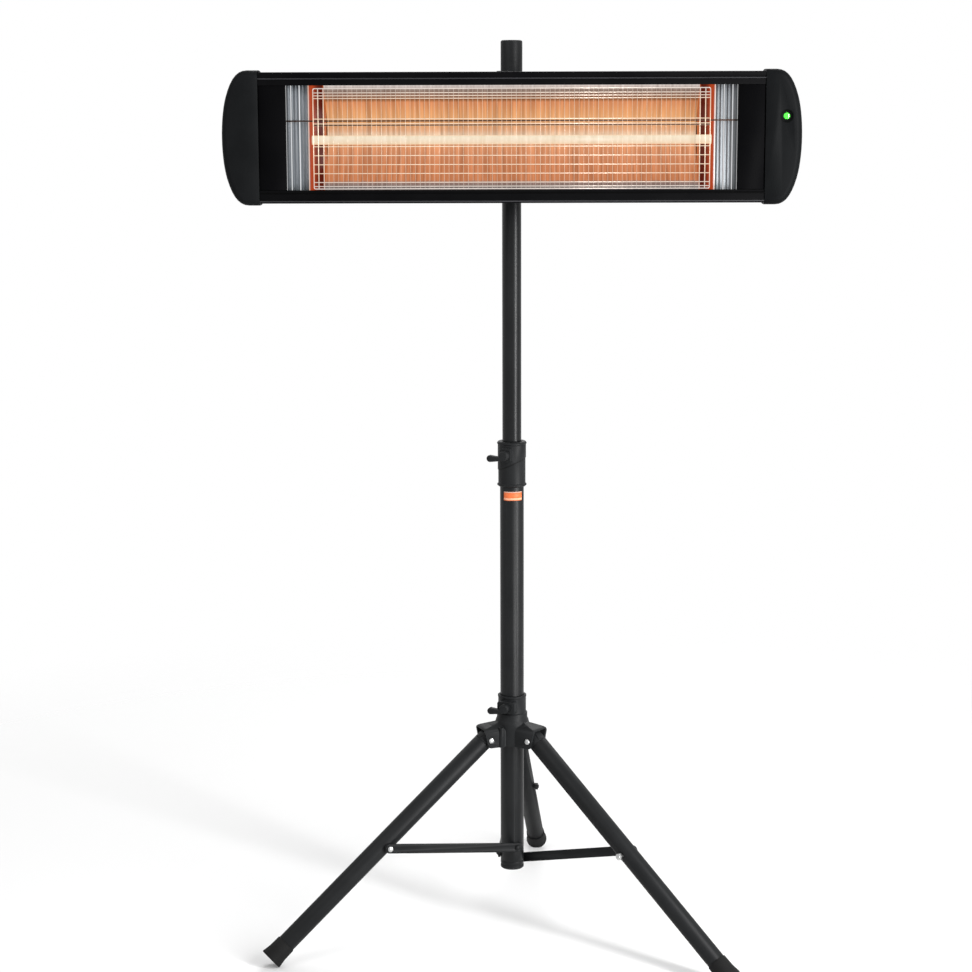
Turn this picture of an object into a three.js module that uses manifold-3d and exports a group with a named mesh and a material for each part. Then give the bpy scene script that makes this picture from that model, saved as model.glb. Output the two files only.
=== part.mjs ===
// Infrared patio heater on a telescoping tripod. Millimetres, +Z up.
// The heater faces -Y. Everything is built around the mast's axis with the floor at z = 0,
// and the finished group is moved so that the origin is the middle of the floor under it.
import * as THREE from 'three';
import { mergeVertices } from 'three/addons/utils/BufferGeometryUtils.js';
import Module from 'manifold-3d';

const wasm = await Module();
wasm.setup();

// ---------------------------------------------------------------- driving dimensions

const GAP = 0.3; // running clearance between neighbouring pieces
const TURN_GAP = 0.5; // clearance beside a piece that turns

// Round sections: number of flats
const TUBE_SIDES = 24;
const KNOB_SIDES = 16;
const BOLT_SIDES = 10;

// Tubes of the stand
const COLUMN_R = 16;
const COLUMN_WALL = 1.6;
const MAST_R = 12.7;
const MAST_WALL = 1.2;
const LEG_R = 12.5;
const LEG_WALL = 1.4;

// Tripod
const LEG_AZIMUTHS = { rear: 83.84, left: 203.84, right: 323.84 }; // degrees from +X
const LEG_LENGTH = 413.3; // hub pivot to the middle of the foot's rim
const LEG_SPREAD = THREE.MathUtils.degToRad(49.4); // from vertical
const PIVOT_R = 38; // hub pivots from the mast's axis
const LEG_TOP = 9; // tube's upper end, below the pivot
const FOOT_R = 15.5; // flared rim
const FOOT_NECK_R = 13.6;
const FOOT_LENGTH = 29;
const FOOT_WALL = 2.6;
const FOOT_CUP = 6; // depth of the hollow under the foot
const FOOT_WEB = 3;
const FOOT_FLAT = 1.4; // worn flat where the rim meets the floor

// Hub casting, heights measured from the leg pivots
const CHEEK_INNER = LEG_R + TURN_GAP;
const CHEEK_WALL = 3.6;
const ARM_REACH = 9; // past the pivot
const ARM_TOP = 16.5;
const ARM_RISE = 10; // how far the roof climbs from the arm's end to the mast's axis
const ARM_BOTTOM = 11;
const ARM_ROOF = 3; // roof's thickness over the leg
const BARREL_R = 23.5;
const HUB_RIB_R = 3.8; // upright rib where the left arm meets the barrel
const HUB_RIB_OUT = 27.8;
const HUB_RIB_AZIMUTH = 239.2;
const NECK_LOW_R = 20.8;
const NECK_R = 19;
const NECK_LIP_R = 19.5;
const NECK_STEP = 32.5; // above the pivots
const NECK_TOP = 57.6;
const SLOT_CORNER = 2.5; // small, so that the knuckle clears it as the leg folds
const EYE_R = 11.5; // round end of the leg's knuckle
const KNUCKLE_PLUG = 24;

// Column, from the floor
const COLUMN_BOTTOM = 90;
const PLUG_FLANGE = 11;
const PLUG_GROOVE = 0.7;
const PLUG_LENGTH = 40;
const COLUMN_TOP = 681;
const COLLAR_HEIGHT = 61;
const COLLAR_R = 18.3;
const COLLAR_UPPER_R = 19;
const COLLAR_LIP_R = 19.8;
const COLLAR_SEAM = 30; // clamp sleeve's length at its middle, from the collar's top
const COLLAR_SEAM_TILT = THREE.MathUtils.degToRad(24);
const COLLAR_ROOF = 3;
const BUSH_FLANGE = 2.4;
const BUSH_LENGTH = 28;
const LABEL_DROP = 5.8; // label's upper edge under the collar
const LABEL_HEIGHT = 12.2;
const LABEL_SPAN = 1.65; // radians round the column
const LABEL_THICK = 0.35;
const LABEL_TURN = THREE.MathUtils.degToRad(6);

// Braces
const BRACE_PIVOT_Z = { rear: 110, left: 122.7, right: 98 };
const BRACE_ON_LEG = 199.6; // down the leg from the hub pivot
const BRACE_INSET = 3.2; // pin's offset to the leg's inner side
const BRACE_TAIL = 1.2; // inner end's reach past the pivot screw, before its rounding
const BRACE_HEIGHT = 13;
const BRACE_THICK = 3;
const BRACE_EDGE = 0.5; // rounded edge
const BRACE_SCREW_R = 2.5;
const BRACE_SCREW_IN = 10; // screw's reach under the column's surface

// Screws and bolts
const PIN_R = 3;
const HEAD_R = 4;
const HEAD_HEIGHT = 2.6;
const NUT_R = 5;
const NUT_HEIGHT = 5;

// Lever knobs of the two clamps
const KNOB_AZIMUTH = 250;
const COLLAR_PAD = { width: 14.4, height: 19 };
const NECK_PAD = { width: 25, height: 16 };
const PAD_CORNER = 3;
const BOSS_REACH = 5.5; // past the collar
const KNOB_R = 6.6;
const KNOB_DEPTH = 10;
const LEVER_LENGTH = 24;
const LEVER_ROOT = 6.2;
const LEVER_TIP = 4.6;
const LEVER_DROOP = THREE.MathUtils.degToRad(12);
const STUD_R = 3;
const UPPER_KNOB_DROP = 10; // under the column's top
const LOWER_KNOB_DROP = 13.4; // under the neck's top

// Upper mast
const MAST_TOP = 1211.5;
const MAST_REST = 66.5; // room under the mast's shoe as it stands
const SHOE_LENGTH = 14;
const SHOE_PLUG = 22;
const CAP_R = 14.2;
const CAP_LENGTH = 52;
const CAP_ROOF = 2.7;
const CAP_EDGE = 2.2;
const CAP_TAB_R = 15.4; // finger tab on the cap's left, for pulling it off
const CAP_TAB_OFFSET = 4;

// Heater head, about its own middle and its own front plane
const HEAD_DROP = 120.5; // head's middle under the mast's top
const WINDOW_HALF = 284.2;
const FASCIA_WIDTH = 33.8;
const BODY_HEIGHT = 163.4;
const BODY_DEPTH = 80;
const BODY_WALL = 2;
const BODY_CORNER = 3;
const BODY_BACK_FLAT = 76; // height of the flat back
const BODY_TOP_FLAT = 26; // depth of the flat top and bottom
const WINDOW_HEIGHT = 130.4;
const LIP_DEPTH = 8;
const BEAD_R = 1.3;
const BEAD_UPPER = 73.4;
const BEAD_LOWER = -68.6;
const VENT_COUNT = 12;
const VENT_PITCH = 40;
const VENT_LENGTH = 22;
const VENT_HEIGHT = 3.4;
const VENT_ROWS = [46, 56];

// End caps
const CAP_WIDTH = 46.7;
const CAP_HALF_HEIGHT = 84.2;
const CAP_PROUD = 1.2; // in front of the body
const CAP_SHELL = 2.6;
const CAP_FRONT_EDGE = 8;
const LED_INSET = 26.5; // from the cap's inner edge
const LED_Z = 26;
const LED_R = 4.1;
const LED_DISH_R = 8.6;

// Optics
const REFLECTOR_INSET = 48.2; // trough's end inside the window's end
const REFLECTOR_SHEET = 1;
const REFLECTOR_FRONT = 8.3; // mouth's depth behind the front plane
const REFLECTOR_LIP = 66.8;
const REFLECTOR_BACK = 60;
const REFLECTOR_MOUTH = 62;
const END_PLATE_WALL = 17; // wall past the trough's end, where the fluted face turns back
const END_PLATE_TURN = 20.5;
const END_PLATE_DEPTH = 47;
const END_PLATE_RIBS = 7;
const END_RIB_HEIGHT = 1.5;
const END_PLATE_HALF = 66.5;
const LAMP_R = 5.8;
const LAMP_WALL = 1.1;
const LAMP_REACH = 3; // lamp's end past that wall
const LAMP_DEPTH = 31; // lamp's axis behind the front plane
const LAMP_Z = -3;
const LAMP_CAP_R = 7;
const LAMP_CAP_LENGTH = 24;
const ELEMENT_WIDTH = 5;
const ELEMENT_THICK = 0.8;
const ELEMENT_TURNS = 7;

// Wire guard
const GUARD_INSET = 34.2; // frame's end inside the window's end
const GUARD_DEPTH = 6.2;
const GUARD_FRAME_R = 1.3;
const GUARD_WIRE_R = 0.8;
const GUARD_WELD = 0.5;
const GUARD_UPPER = 62.6;
const GUARD_LOWER = -60;
const GUARD_ROWS = [-49.6, -39.2, -28.8, -18.4, -8, 17, 48, 55.5];
const GUARD_PITCH = 25;
const GUARD_ROD_Z = 22;
const GUARD_ROD_R = 1.1;

// Fascia panels
const FASCIA_SHEET = 2;
const FASCIA_RETURN = 8.4;

// Tilt bracket and mast clamp
const TILT_Y = -32;
const TILT_REACH = 14; // tilt axis behind the housing's back
const LUG_HALF = 9;
const LUG_R = 9;
const EAR_SHEET = 3;
const PLATE_HALF_X = 34;
const PLATE_HALF_Z = 30;
const CLAMP_FRONT_Y = -20;
const CLAMP_HALF_X = 27;
const CLAMP_EAR = 8; // thickness of its bolted wings
const CLAMP_HALF_Z = 17;
const CLAMP_SPLIT = 0.6;
const CLAMP_BACK_Y = 19;
const CLAMP_BOLT_X = 21;
const TILT_BOLT_R = 3;
const STAR_R = 10;
const STAR_DEPTH = 11;
const STAR_LOBES = 6;

// ---------------------------------------------------------------- derived places

const PIVOT_Z = LEG_LENGTH * Math.cos(LEG_SPREAD) + FOOT_R * Math.sin(LEG_SPREAD) - FOOT_FLAT;
const CHEEK_OUTER = CHEEK_INNER + CHEEK_WALL;
const BRACE_INNER = COLUMN_R + GAP;
const BRACE_OUTER = BRACE_INNER + BRACE_THICK;
const COLUMN_BORE = COLUMN_R - COLUMN_WALL;
const COLLAR_TOP = COLUMN_TOP + GAP + BUSH_FLANGE + GAP + COLLAR_ROOF;
const COLLAR_BOTTOM = COLLAR_TOP - COLLAR_HEIGHT;
const UPPER_KNOB_Z = COLUMN_TOP - UPPER_KNOB_DROP;
const MAST_BOTTOM = COLUMN_BOTTOM + PLUG_LENGTH + MAST_REST + SHOE_LENGTH;
const HEAD_Z = MAST_TOP - HEAD_DROP;
const BODY_HALF = WINDOW_HALF + FASCIA_WIDTH; // extrusion's half length
const LED_X = BODY_HALF + LED_INSET;
const REFLECTOR_HALF = WINDOW_HALF - REFLECTOR_INSET;
const END_PLATE_FRONT = WINDOW_HALF - GAP * 2;
const END_PLATE_INNER = REFLECTOR_HALF + END_PLATE_WALL;
const LAMP_HALF = END_PLATE_INNER + LAMP_REACH;
const GUARD_HALF = WINDOW_HALF - GUARD_INSET;
const BODY_HALF_HEIGHT = BODY_HEIGHT / 2;
const WINDOW_HALF_HEIGHT = WINDOW_HEIGHT / 2;
const HEAD_FRONT_Y = TILT_Y - TILT_REACH - BODY_DEPTH;
const COLLAR_BOSS_END = COLLAR_LIP_R + BOSS_REACH;
const NECK_BOSS_END = NECK_LIP_R + BOSS_REACH;

// ---------------------------------------------------------------- materials

const paint = new THREE.MeshStandardMaterial({ color: 0x1d1e1f, roughness: 0.45, metalness: 0.3 });
const moulded = new THREE.MeshStandardMaterial({ color: 0x1a1b1c, roughness: 0.55, metalness: 0 });
const capPlastic = new THREE.MeshStandardMaterial({ color: 0x2b2d2e, roughness: 0.5, metalness: 0 });
const rubber = new THREE.MeshStandardMaterial({ color: 0x101010, roughness: 0.85, metalness: 0 });
const steel = new THREE.MeshStandardMaterial({ color: 0xc8c8c6, roughness: 0.3, metalness: 1 });
const polished = new THREE.MeshStandardMaterial({ color: 0xd9d9d7, roughness: 0.15, metalness: 1 });
const quartz = new THREE.MeshStandardMaterial({ color: 0xffe2bd, roughness: 0.05, metalness: 0 });
const carbon = new THREE.MeshStandardMaterial({ color: 0xff9a3c, roughness: 0.8, metalness: 0 });
const ceramic = new THREE.MeshStandardMaterial({ color: 0xe9e4da, roughness: 0.6, metalness: 0 });
const greenLens = new THREE.MeshStandardMaterial({ color: 0x38d93c, roughness: 0.2, metalness: 0 });
const orangeFilm = new THREE.MeshStandardMaterial({ color: 0xe8641e, roughness: 0.5, metalness: 0 });
const boardGreen = new THREE.MeshStandardMaterial({ color: 0x1f6b3a, roughness: 0.6, metalness: 0 });

// ---------------------------------------------------------------- solid helpers

// Merges shared vertices, drops collapsed faces and turns the faces outwards.
function closed(geometry) {
  const bare = geometry.clone();
  bare.deleteAttribute('normal');
  bare.deleteAttribute('uv');
  const merged = mergeVertices(bare, 1e-4);
  const place = merged.getAttribute('position');
  const source = merged.getIndex().array;
  const index = [];
  const [a, b, c] = [new THREE.Vector3(), new THREE.Vector3(), new THREE.Vector3()];
  let volume = 0;
  for (let i = 0; i < source.length; i += 3) {
    const [p, q, r] = [source[i], source[i + 1], source[i + 2]];
    if (p === q || q === r || r === p) continue;
    index.push(p, q, r);
    a.fromBufferAttribute(place, p);
    b.fromBufferAttribute(place, q);
    c.fromBufferAttribute(place, r);
    volume += a.dot(b.cross(c));
  }
  if (volume < 0) index.reverse();
  merged.setIndex(index);
  return merged;
}

function toManifold(geometry) {
  const shape = closed(geometry);
  return new wasm.Manifold(new wasm.Mesh({
    numProp: 3,
    vertProperties: new Float32Array(shape.getAttribute('position').array),
    triVerts: new Uint32Array(shape.getIndex().array),
  }));
}

function toGeometry(manifold) {
  const mesh = manifold.getMesh();
  const geometry = new THREE.BufferGeometry();
  geometry.setAttribute('position', new THREE.BufferAttribute(new Float32Array(mesh.vertProperties), 3));
  geometry.setIndex(new THREE.BufferAttribute(new Uint32Array(mesh.triVerts), 1));
  return geometry;
}

function join(...geometries) {
  const [first, ...rest] = geometries.map(toManifold);
  return toGeometry(rest.reduce((whole, next) => whole.add(next), first));
}

function cut(geometry, ...tools) {
  return toGeometry(tools.reduce((whole, tool) => whole.subtract(toManifold(tool)), toManifold(geometry)));
}

function meet(first, second) {
  return toGeometry(toManifold(first).intersect(toManifold(second)));
}

// A solid of revolution about Z from [radius, height] points.
function turned(points, sides = TUBE_SIDES) {
  const profile = points.map(([radius, height]) => new THREE.Vector2(radius, height));
  const onAxis = points[0][0] === 0 && points.at(-1)[0] === 0;
  if (!onAxis) profile.push(profile[0].clone());
  return new THREE.LatheGeometry(profile, sides).rotateX(Math.PI / 2);
}

function ring(inner, outer, low, high, sides = TUBE_SIDES) {
  return turned([[inner, low], [outer, low], [outer, high], [inner, high]], sides);
}

// A round bar between two places along 'x', 'y' or 'z'.
function rod(radius, from, to, axis = 'z', sides = BOLT_SIDES) {
  const bar = new THREE.CylinderGeometry(radius, radius, Math.abs(to - from), sides);
  bar.translate(0, (from + to) / 2, 0);
  if (axis === 'z') bar.rotateX(Math.PI / 2);
  if (axis === 'x') bar.rotateZ(-Math.PI / 2);
  return bar;
}

function block(x0, x1, y0, y1, z0, z1) {
  const box = new THREE.BoxGeometry(x1 - x0, y1 - y0, z1 - z0);
  return box.translate((x0 + x1) / 2, (y0 + y1) / 2, (z0 + z1) / 2);
}

// A domed screw head on a plane, pointing along +Z.
function dome(radius, height, sides = BOLT_SIDES) {
  const shoulder = height * 0.45;
  const arc = [0, 0.35, 0.7, 1].map((t) => [
    radius * Math.cos(t * Math.PI / 2),
    shoulder + (height - shoulder) * Math.sin(t * Math.PI / 2),
  ]);
  arc[arc.length - 1][0] = 0;
  return turned([[0, 0], [radius, 0], ...arc], sides);
}

const EXTRUDE_X = new THREE.Matrix4().set(0, 0, 1, 0, 1, 0, 0, 0, 0, 1, 0, 0, 0, 0, 0, 1);

// A shape drawn in (y, z), extruded from x0 to x1.
function alongX(shape, x0, x1, options = {}) {
  const bar = new THREE.ExtrudeGeometry(shape, { depth: x1 - x0, bevelEnabled: false, ...options });
  return bar.applyMatrix4(EXTRUDE_X).translate(x0, 0, 0);
}

// A shape drawn in (x, z), extruded from y0 back to y1.
function alongY(shape, y0, y1, options = {}) {
  const bar = new THREE.ExtrudeGeometry(shape, { depth: y1 - y0, bevelEnabled: false, ...options });
  return bar.rotateX(Math.PI / 2).translate(0, y1, 0);
}

// A shape drawn in (x, y), extruded from z0 up to z1.
function alongZ(shape, z0, z1) {
  return new THREE.ExtrudeGeometry(shape, { depth: z1 - z0, bevelEnabled: false }).translate(0, 0, z0);
}

function outline(points) {
  return new THREE.Shape(points.map(([u, v]) => new THREE.Vector2(u, v)));
}

// A flat bar with round ends from one eye to another, drawn in its own plane.
function linkShape(from, to, radius) {
  const angle = Math.atan2(to.y - from.y, to.x - from.x);
  const shape = new THREE.Shape();
  shape.absarc(from.x, from.y, radius, angle + Math.PI / 2, angle + Math.PI * 1.5);
  shape.absarc(to.x, to.y, radius, angle - Math.PI / 2, angle + Math.PI / 2);
  return shape;
}

const heater = new THREE.Group();

function piece(name, geometry, material, parent = heater) {
  const mesh = new THREE.Mesh(closed(geometry), material);
  mesh.name = name;
  parent.add(mesh);
  return mesh;
}

function turnedGroup(azimuth, parent = heater) {
  const group = new THREE.Group();
  group.rotation.z = THREE.MathUtils.degToRad(azimuth);
  parent.add(group);
  return group;
}

// ---------------------------------------------------------------- tripod hub

// One clevis arm, pointing along +X, with its leg's pivot at (PIVOT_R, 0, PIVOT_Z).
function hubArm() {
  const side = new THREE.Shape();
  side.moveTo(0, -ARM_BOTTOM);
  side.lineTo(PIVOT_R + 1, -ARM_BOTTOM);
  side.quadraticCurveTo(PIVOT_R + 5, -ARM_BOTTOM + 1, PIVOT_R + 6.5, 0);
  side.quadraticCurveTo(PIVOT_R + 7.5, 6, PIVOT_R + ARM_REACH, ARM_TOP - 5);
  side.quadraticCurveTo(PIVOT_R + ARM_REACH + 0.5, ARM_TOP - 0.5, PIVOT_R + ARM_REACH - 4, ARM_TOP);
  side.lineTo(0, ARM_TOP + ARM_RISE);
  const sideSolid = alongY(side, -CHEEK_OUTER, CHEEK_OUTER, { curveSegments: 4 });
  const hood = new THREE.Shape();
  hood.moveTo(-CHEEK_OUTER, -ARM_BOTTOM - 1);
  hood.lineTo(CHEEK_OUTER, -ARM_BOTTOM - 1);
  hood.lineTo(CHEEK_OUTER, ARM_TOP - 9);
  hood.quadraticCurveTo(CHEEK_OUTER, ARM_TOP - 1, CHEEK_OUTER - 7, ARM_TOP + 2);
  hood.quadraticCurveTo(0, ARM_TOP + ARM_RISE - 1, -CHEEK_OUTER + 7, ARM_TOP + 2);
  hood.quadraticCurveTo(-CHEEK_OUTER, ARM_TOP - 1, -CHEEK_OUTER, ARM_TOP - 9);
  const hoodSolid = alongX(hood, 0, PIVOT_R + ARM_REACH + 2, { curveSegments: 4 });
  const slot = new THREE.Shape();
  const slotTop = ARM_TOP - ARM_ROOF;
  slot.moveTo(-CHEEK_INNER, -ARM_BOTTOM - 2);
  slot.lineTo(CHEEK_INNER, -ARM_BOTTOM - 2);
  slot.lineTo(CHEEK_INNER, slotTop - SLOT_CORNER);
  slot.quadraticCurveTo(CHEEK_INNER, slotTop, CHEEK_INNER - SLOT_CORNER, slotTop);
  slot.lineTo(-CHEEK_INNER + SLOT_CORNER, slotTop);
  slot.quadraticCurveTo(-CHEEK_INNER, slotTop, -CHEEK_INNER, slotTop - SLOT_CORNER);
  const slotSolid = alongX(slot, PIVOT_R - LEG_R - TURN_GAP, PIVOT_R + ARM_REACH + 4, { curveSegments: 4 });
  const pinHole = rod(PIN_R + GAP, -CHEEK_OUTER - 1, CHEEK_OUTER + 1, 'y').translate(PIVOT_R, 0, 0);
  return cut(meet(sideSolid, hoodSolid), slotSolid, pinHole).translate(0, 0, PIVOT_Z);
}

// Squared pad that a lever knob clamps against.
function knobBoss(pad, from, to) {
  const [w, h, r] = [pad.width / 2, pad.height / 2, PAD_CORNER];
  const face = new THREE.Shape();
  face.absarc(w - r, h - r, r, 0, Math.PI / 2);
  face.absarc(-w + r, h - r, r, Math.PI / 2, Math.PI);
  face.absarc(-w + r, -h + r, r, Math.PI, Math.PI * 1.5);
  face.absarc(w - r, -h + r, r, Math.PI * 1.5, Math.PI * 2);
  return alongX(face, from, to, { curveSegments: 4 });
}

function clampStudHole() {
  return rod(STUD_R + GAP, 0, 60, 'x');
}

function towardsKnob(geometry, height) {
  return geometry.rotateZ(THREE.MathUtils.degToRad(KNOB_AZIMUTH)).translate(0, 0, height);
}

const LOWER_KNOB_Z = PIVOT_Z + NECK_TOP - LOWER_KNOB_DROP;

function hubCasting() {
  const columnBore = COLUMN_R + GAP;
  const bodyProfile = [
    [0, -ARM_BOTTOM],
    [BARREL_R, -ARM_BOTTOM],
    [BARREL_R, ARM_TOP + 2],
    [NECK_LOW_R + 1.2, ARM_TOP + ARM_RISE - 3],
    [NECK_LOW_R, ARM_TOP + ARM_RISE - 1],
    [NECK_LOW_R, NECK_STEP],
    [NECK_R, NECK_STEP + 0.8],
    [NECK_R, NECK_TOP - 3.4],
    [NECK_LIP_R, NECK_TOP - 2.6],
    [NECK_LIP_R, NECK_TOP - 0.6],
    [NECK_LIP_R - 0.8, NECK_TOP],
    [0, NECK_TOP],
  ];
  const body = turned(bodyProfile).translate(0, 0, PIVOT_Z);
  const arms = Object.values(LEG_AZIMUTHS).map((azimuth) => (
    hubArm().rotateZ(THREE.MathUtils.degToRad(azimuth))
  ));
  const boss = towardsKnob(knobBoss(NECK_PAD, NECK_R - 9, NECK_BOSS_END), LOWER_KNOB_Z);
  const bore = turned([
    [0, -ARM_BOTTOM - 1],
    [columnBore, -ARM_BOTTOM - 1],
    [columnBore, NECK_TOP + 1],
    [0, NECK_TOP + 1],
  ]).translate(0, 0, PIVOT_Z);
  const rib = rod(HUB_RIB_R, -ARM_BOTTOM, ARM_TOP, 'z', KNOB_SIDES).translate(HUB_RIB_OUT, 0, PIVOT_Z);
  rib.rotateZ(THREE.MathUtils.degToRad(HUB_RIB_AZIMUTH));
  return cut(join(body, ...arms, boss, rib), bore, towardsKnob(clampStudHole(), LOWER_KNOB_Z));
}

// Bolt along Y with a domed head at -Y and a nut at +Y, its grip between the two given faces.
function throughBolt(radius, from, to) {
  const head = dome(HEAD_R, HEAD_HEIGHT).rotateX(Math.PI / 2).translate(0, from, 0);
  const shank = rod(radius, from - 0.4, to + NUT_HEIGHT * 0.8, 'y');
  const nut = rod(NUT_R, to, to + NUT_HEIGHT * 0.7, 'y', 6);
  return join(head, shank, nut);
}

function buildHub() {
  piece('hub_casting', hubCasting(), moulded);
  for (const [side, azimuth] of Object.entries(LEG_AZIMUTHS)) {
    const arm = turnedGroup(azimuth);
    const bolt = throughBolt(PIN_R, -CHEEK_OUTER - GAP, CHEEK_OUTER + GAP);
    if (side === 'left') bolt.rotateZ(Math.PI);
    piece(`hinge_bolt_${side}`, bolt.translate(PIVOT_R, 0, PIVOT_Z), steel, arm);
  }
}

// ---------------------------------------------------------------- legs

// Leg pieces hang from the hub pivot along -Z, with +X as the leg's outer side.
function legTube() {
  const tube = ring(LEG_R - LEG_WALL, LEG_R, -(LEG_LENGTH - FOOT_CUP - FOOT_WEB - GAP), -LEG_TOP);
  const pinHole = rod(PIN_R + GAP, -LEG_R - 2, LEG_R + 2, 'y');
  return cut(tube, pinHole.translate(-BRACE_INSET, 0, -BRACE_ON_LEG));
}

function legKnuckle() {
  const eye = alongY(linkShape(new THREE.Vector2(0, 0), new THREE.Vector2(0, -2), EYE_R),
    -LEG_R, LEG_R, { curveSegments: 10 });
  const collarTop = -2;
  const collar = turned([
    [0, collarTop], [0, -LEG_TOP - KNUCKLE_PLUG],
    [LEG_R - LEG_WALL - GAP - 1, -LEG_TOP - KNUCKLE_PLUG],
    [LEG_R - LEG_WALL - GAP, -LEG_TOP - KNUCKLE_PLUG + 2],
    [LEG_R - LEG_WALL - GAP, -LEG_TOP + GAP],
    [LEG_R, -LEG_TOP + GAP], [LEG_R, -LEG_TOP + 2], [LEG_R - 2, collarTop],
  ]);
  const trimmed = meet(eye, rod(LEG_R, -LEG_TOP + 1, LEG_R + 2, 'z', TUBE_SIDES));
  return cut(join(trimmed, collar), rod(PIN_R + GAP, -LEG_R - 2, LEG_R + 2, 'y'));
}

function footCup() {
  const top = -(LEG_LENGTH - FOOT_LENGTH);
  const rim = -LEG_LENGTH;
  const bore = LEG_R + GAP;
  const cup = turned([
    [bore, top],
    [FOOT_NECK_R - 0.5, top],
    [FOOT_NECK_R, top - 1],
    [FOOT_NECK_R + 0.3, rim + 13],
    [FOOT_R - 0.7, rim + 6],
    [FOOT_R, rim + 2.4],
    [FOOT_R, rim],
    [FOOT_R - FOOT_WALL, rim],
    [FOOT_R - FOOT_WALL - 0.6, rim + FOOT_CUP],
    [0, rim + FOOT_CUP],
    [0, rim + FOOT_CUP + FOOT_WEB],
    [bore, rim + FOOT_CUP + FOOT_WEB],
  ].reverse());
  const floor = block(-60, 60, -60, 60, -40, 0);
  const footCentre = PIVOT_R + LEG_LENGTH * Math.sin(LEG_SPREAD);
  floor.translate(footCentre - PIVOT_R, 0, -PIVOT_Z).rotateY(LEG_SPREAD);
  return cut(cup, floor);
}

// Stud through the leg: a nut at -Y and a spacer at +Y, which the brace lies against.
function braceStud() {
  const nutFace = -LEG_R - GAP;
  const nut = rod(NUT_R, nutFace - NUT_HEIGHT, nutFace, 'y', 6);
  const tail = rod(PIN_R - 0.4, nutFace - NUT_HEIGHT - 1.2, nutFace, 'y');
  const shank = rod(PIN_R, nutFace - 0.5, LEG_R + GAP + 0.5, 'y');
  const spacer = rod(NUT_R, LEG_R + GAP, BRACE_INNER - GAP, 'y', KNOB_SIDES);
  return join(tail, nut, shank, spacer).translate(-BRACE_INSET, 0, -BRACE_ON_LEG);
}

function buildLeg(side, azimuth) {
  const arm = turnedGroup(azimuth);
  const leg = new THREE.Group();
  leg.position.set(PIVOT_R, 0, PIVOT_Z);
  leg.rotation.y = -LEG_SPREAD;
  arm.add(leg);
  piece(`leg_tube_${side}`, legTube(), paint, leg);
  piece(`leg_knuckle_${side}`, legKnuckle(), moulded, leg);
  piece(`foot_${side}`, footCup(), rubber, leg);
  piece(`brace_stud_${side}`, braceStud(), steel, leg);
}

// ---------------------------------------------------------------- column and braces

function legPoint(along, inset) {
  return new THREE.Vector2(
    PIVOT_R + along * Math.sin(LEG_SPREAD) - inset * Math.cos(LEG_SPREAD),
    PIVOT_Z - along * Math.cos(LEG_SPREAD) - inset * Math.sin(LEG_SPREAD),
  );
}

function braceBar(side) {
  const inner = new THREE.Vector2(0, BRACE_PIVOT_Z[side]);
  const outer = legPoint(BRACE_ON_LEG, BRACE_INSET);
  const tail = inner.clone().sub(outer).setLength(BRACE_TAIL).add(inner);
  const bar = alongY(linkShape(tail, outer, BRACE_HEIGHT / 2 - BRACE_EDGE),
    BRACE_INNER + BRACE_EDGE, BRACE_OUTER - BRACE_EDGE,
    { bevelEnabled: true, bevelSize: BRACE_EDGE, bevelThickness: BRACE_EDGE, bevelSegments: 1, curveSegments: 8 });
  const holes = [inner, outer].map((eye) => (
    rod(BRACE_SCREW_R + GAP, BRACE_INNER - 1, BRACE_OUTER + 1, 'y').translate(eye.x, 0, eye.y)
  ));
  return cut(bar, ...holes);
}

// Domed screw along Y, its head outside the brace and its shank reaching in to the given place.
function braceScrew(reach) {
  const seat = BRACE_OUTER + GAP;
  const head = dome(HEAD_R, HEAD_HEIGHT).rotateX(-Math.PI / 2).translate(0, seat, 0);
  return join(head, rod(BRACE_SCREW_R, reach, seat + 0.4, 'y'));
}

function pivotScrewPlace(geometry, side) {
  const azimuth = THREE.MathUtils.degToRad(LEG_AZIMUTHS[side]);
  return geometry.rotateZ(azimuth).translate(0, 0, BRACE_PIVOT_Z[side]);
}

function pivotHoles() {
  return Object.keys(LEG_AZIMUTHS).map((side) => (
    pivotScrewPlace(rod(BRACE_SCREW_R + GAP, COLUMN_R - BRACE_SCREW_IN - GAP, COLUMN_R + 4, 'y'), side)
  ));
}

function columnTube() {
  const tube = ring(COLUMN_BORE, COLUMN_R, COLUMN_BOTTOM + PLUG_FLANGE + GAP, COLUMN_TOP);
  return cut(tube, ...pivotHoles(), towardsKnob(clampStudHole(), UPPER_KNOB_Z));
}

function columnPlug() {
  const shank = COLUMN_BORE - GAP;
  const plug = turned([
    [0, COLUMN_BOTTOM],
    [COLUMN_R - 1, COLUMN_BOTTOM],
    [COLUMN_R, COLUMN_BOTTOM + 1],
    [COLUMN_R, COLUMN_BOTTOM + 4],
    [COLUMN_R - PLUG_GROOVE, COLUMN_BOTTOM + 4.6],
    [COLUMN_R - PLUG_GROOVE, COLUMN_BOTTOM + 6],
    [COLUMN_R, COLUMN_BOTTOM + 6.6],
    [COLUMN_R, COLUMN_BOTTOM + PLUG_FLANGE],
    [shank, COLUMN_BOTTOM + PLUG_FLANGE],
    [shank, COLUMN_BOTTOM + PLUG_LENGTH - 1.5],
    [shank - 1.5, COLUMN_BOTTOM + PLUG_LENGTH],
    [0, COLUMN_BOTTOM + PLUG_LENGTH],
  ]);
  return cut(plug, ...pivotHoles());
}

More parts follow.
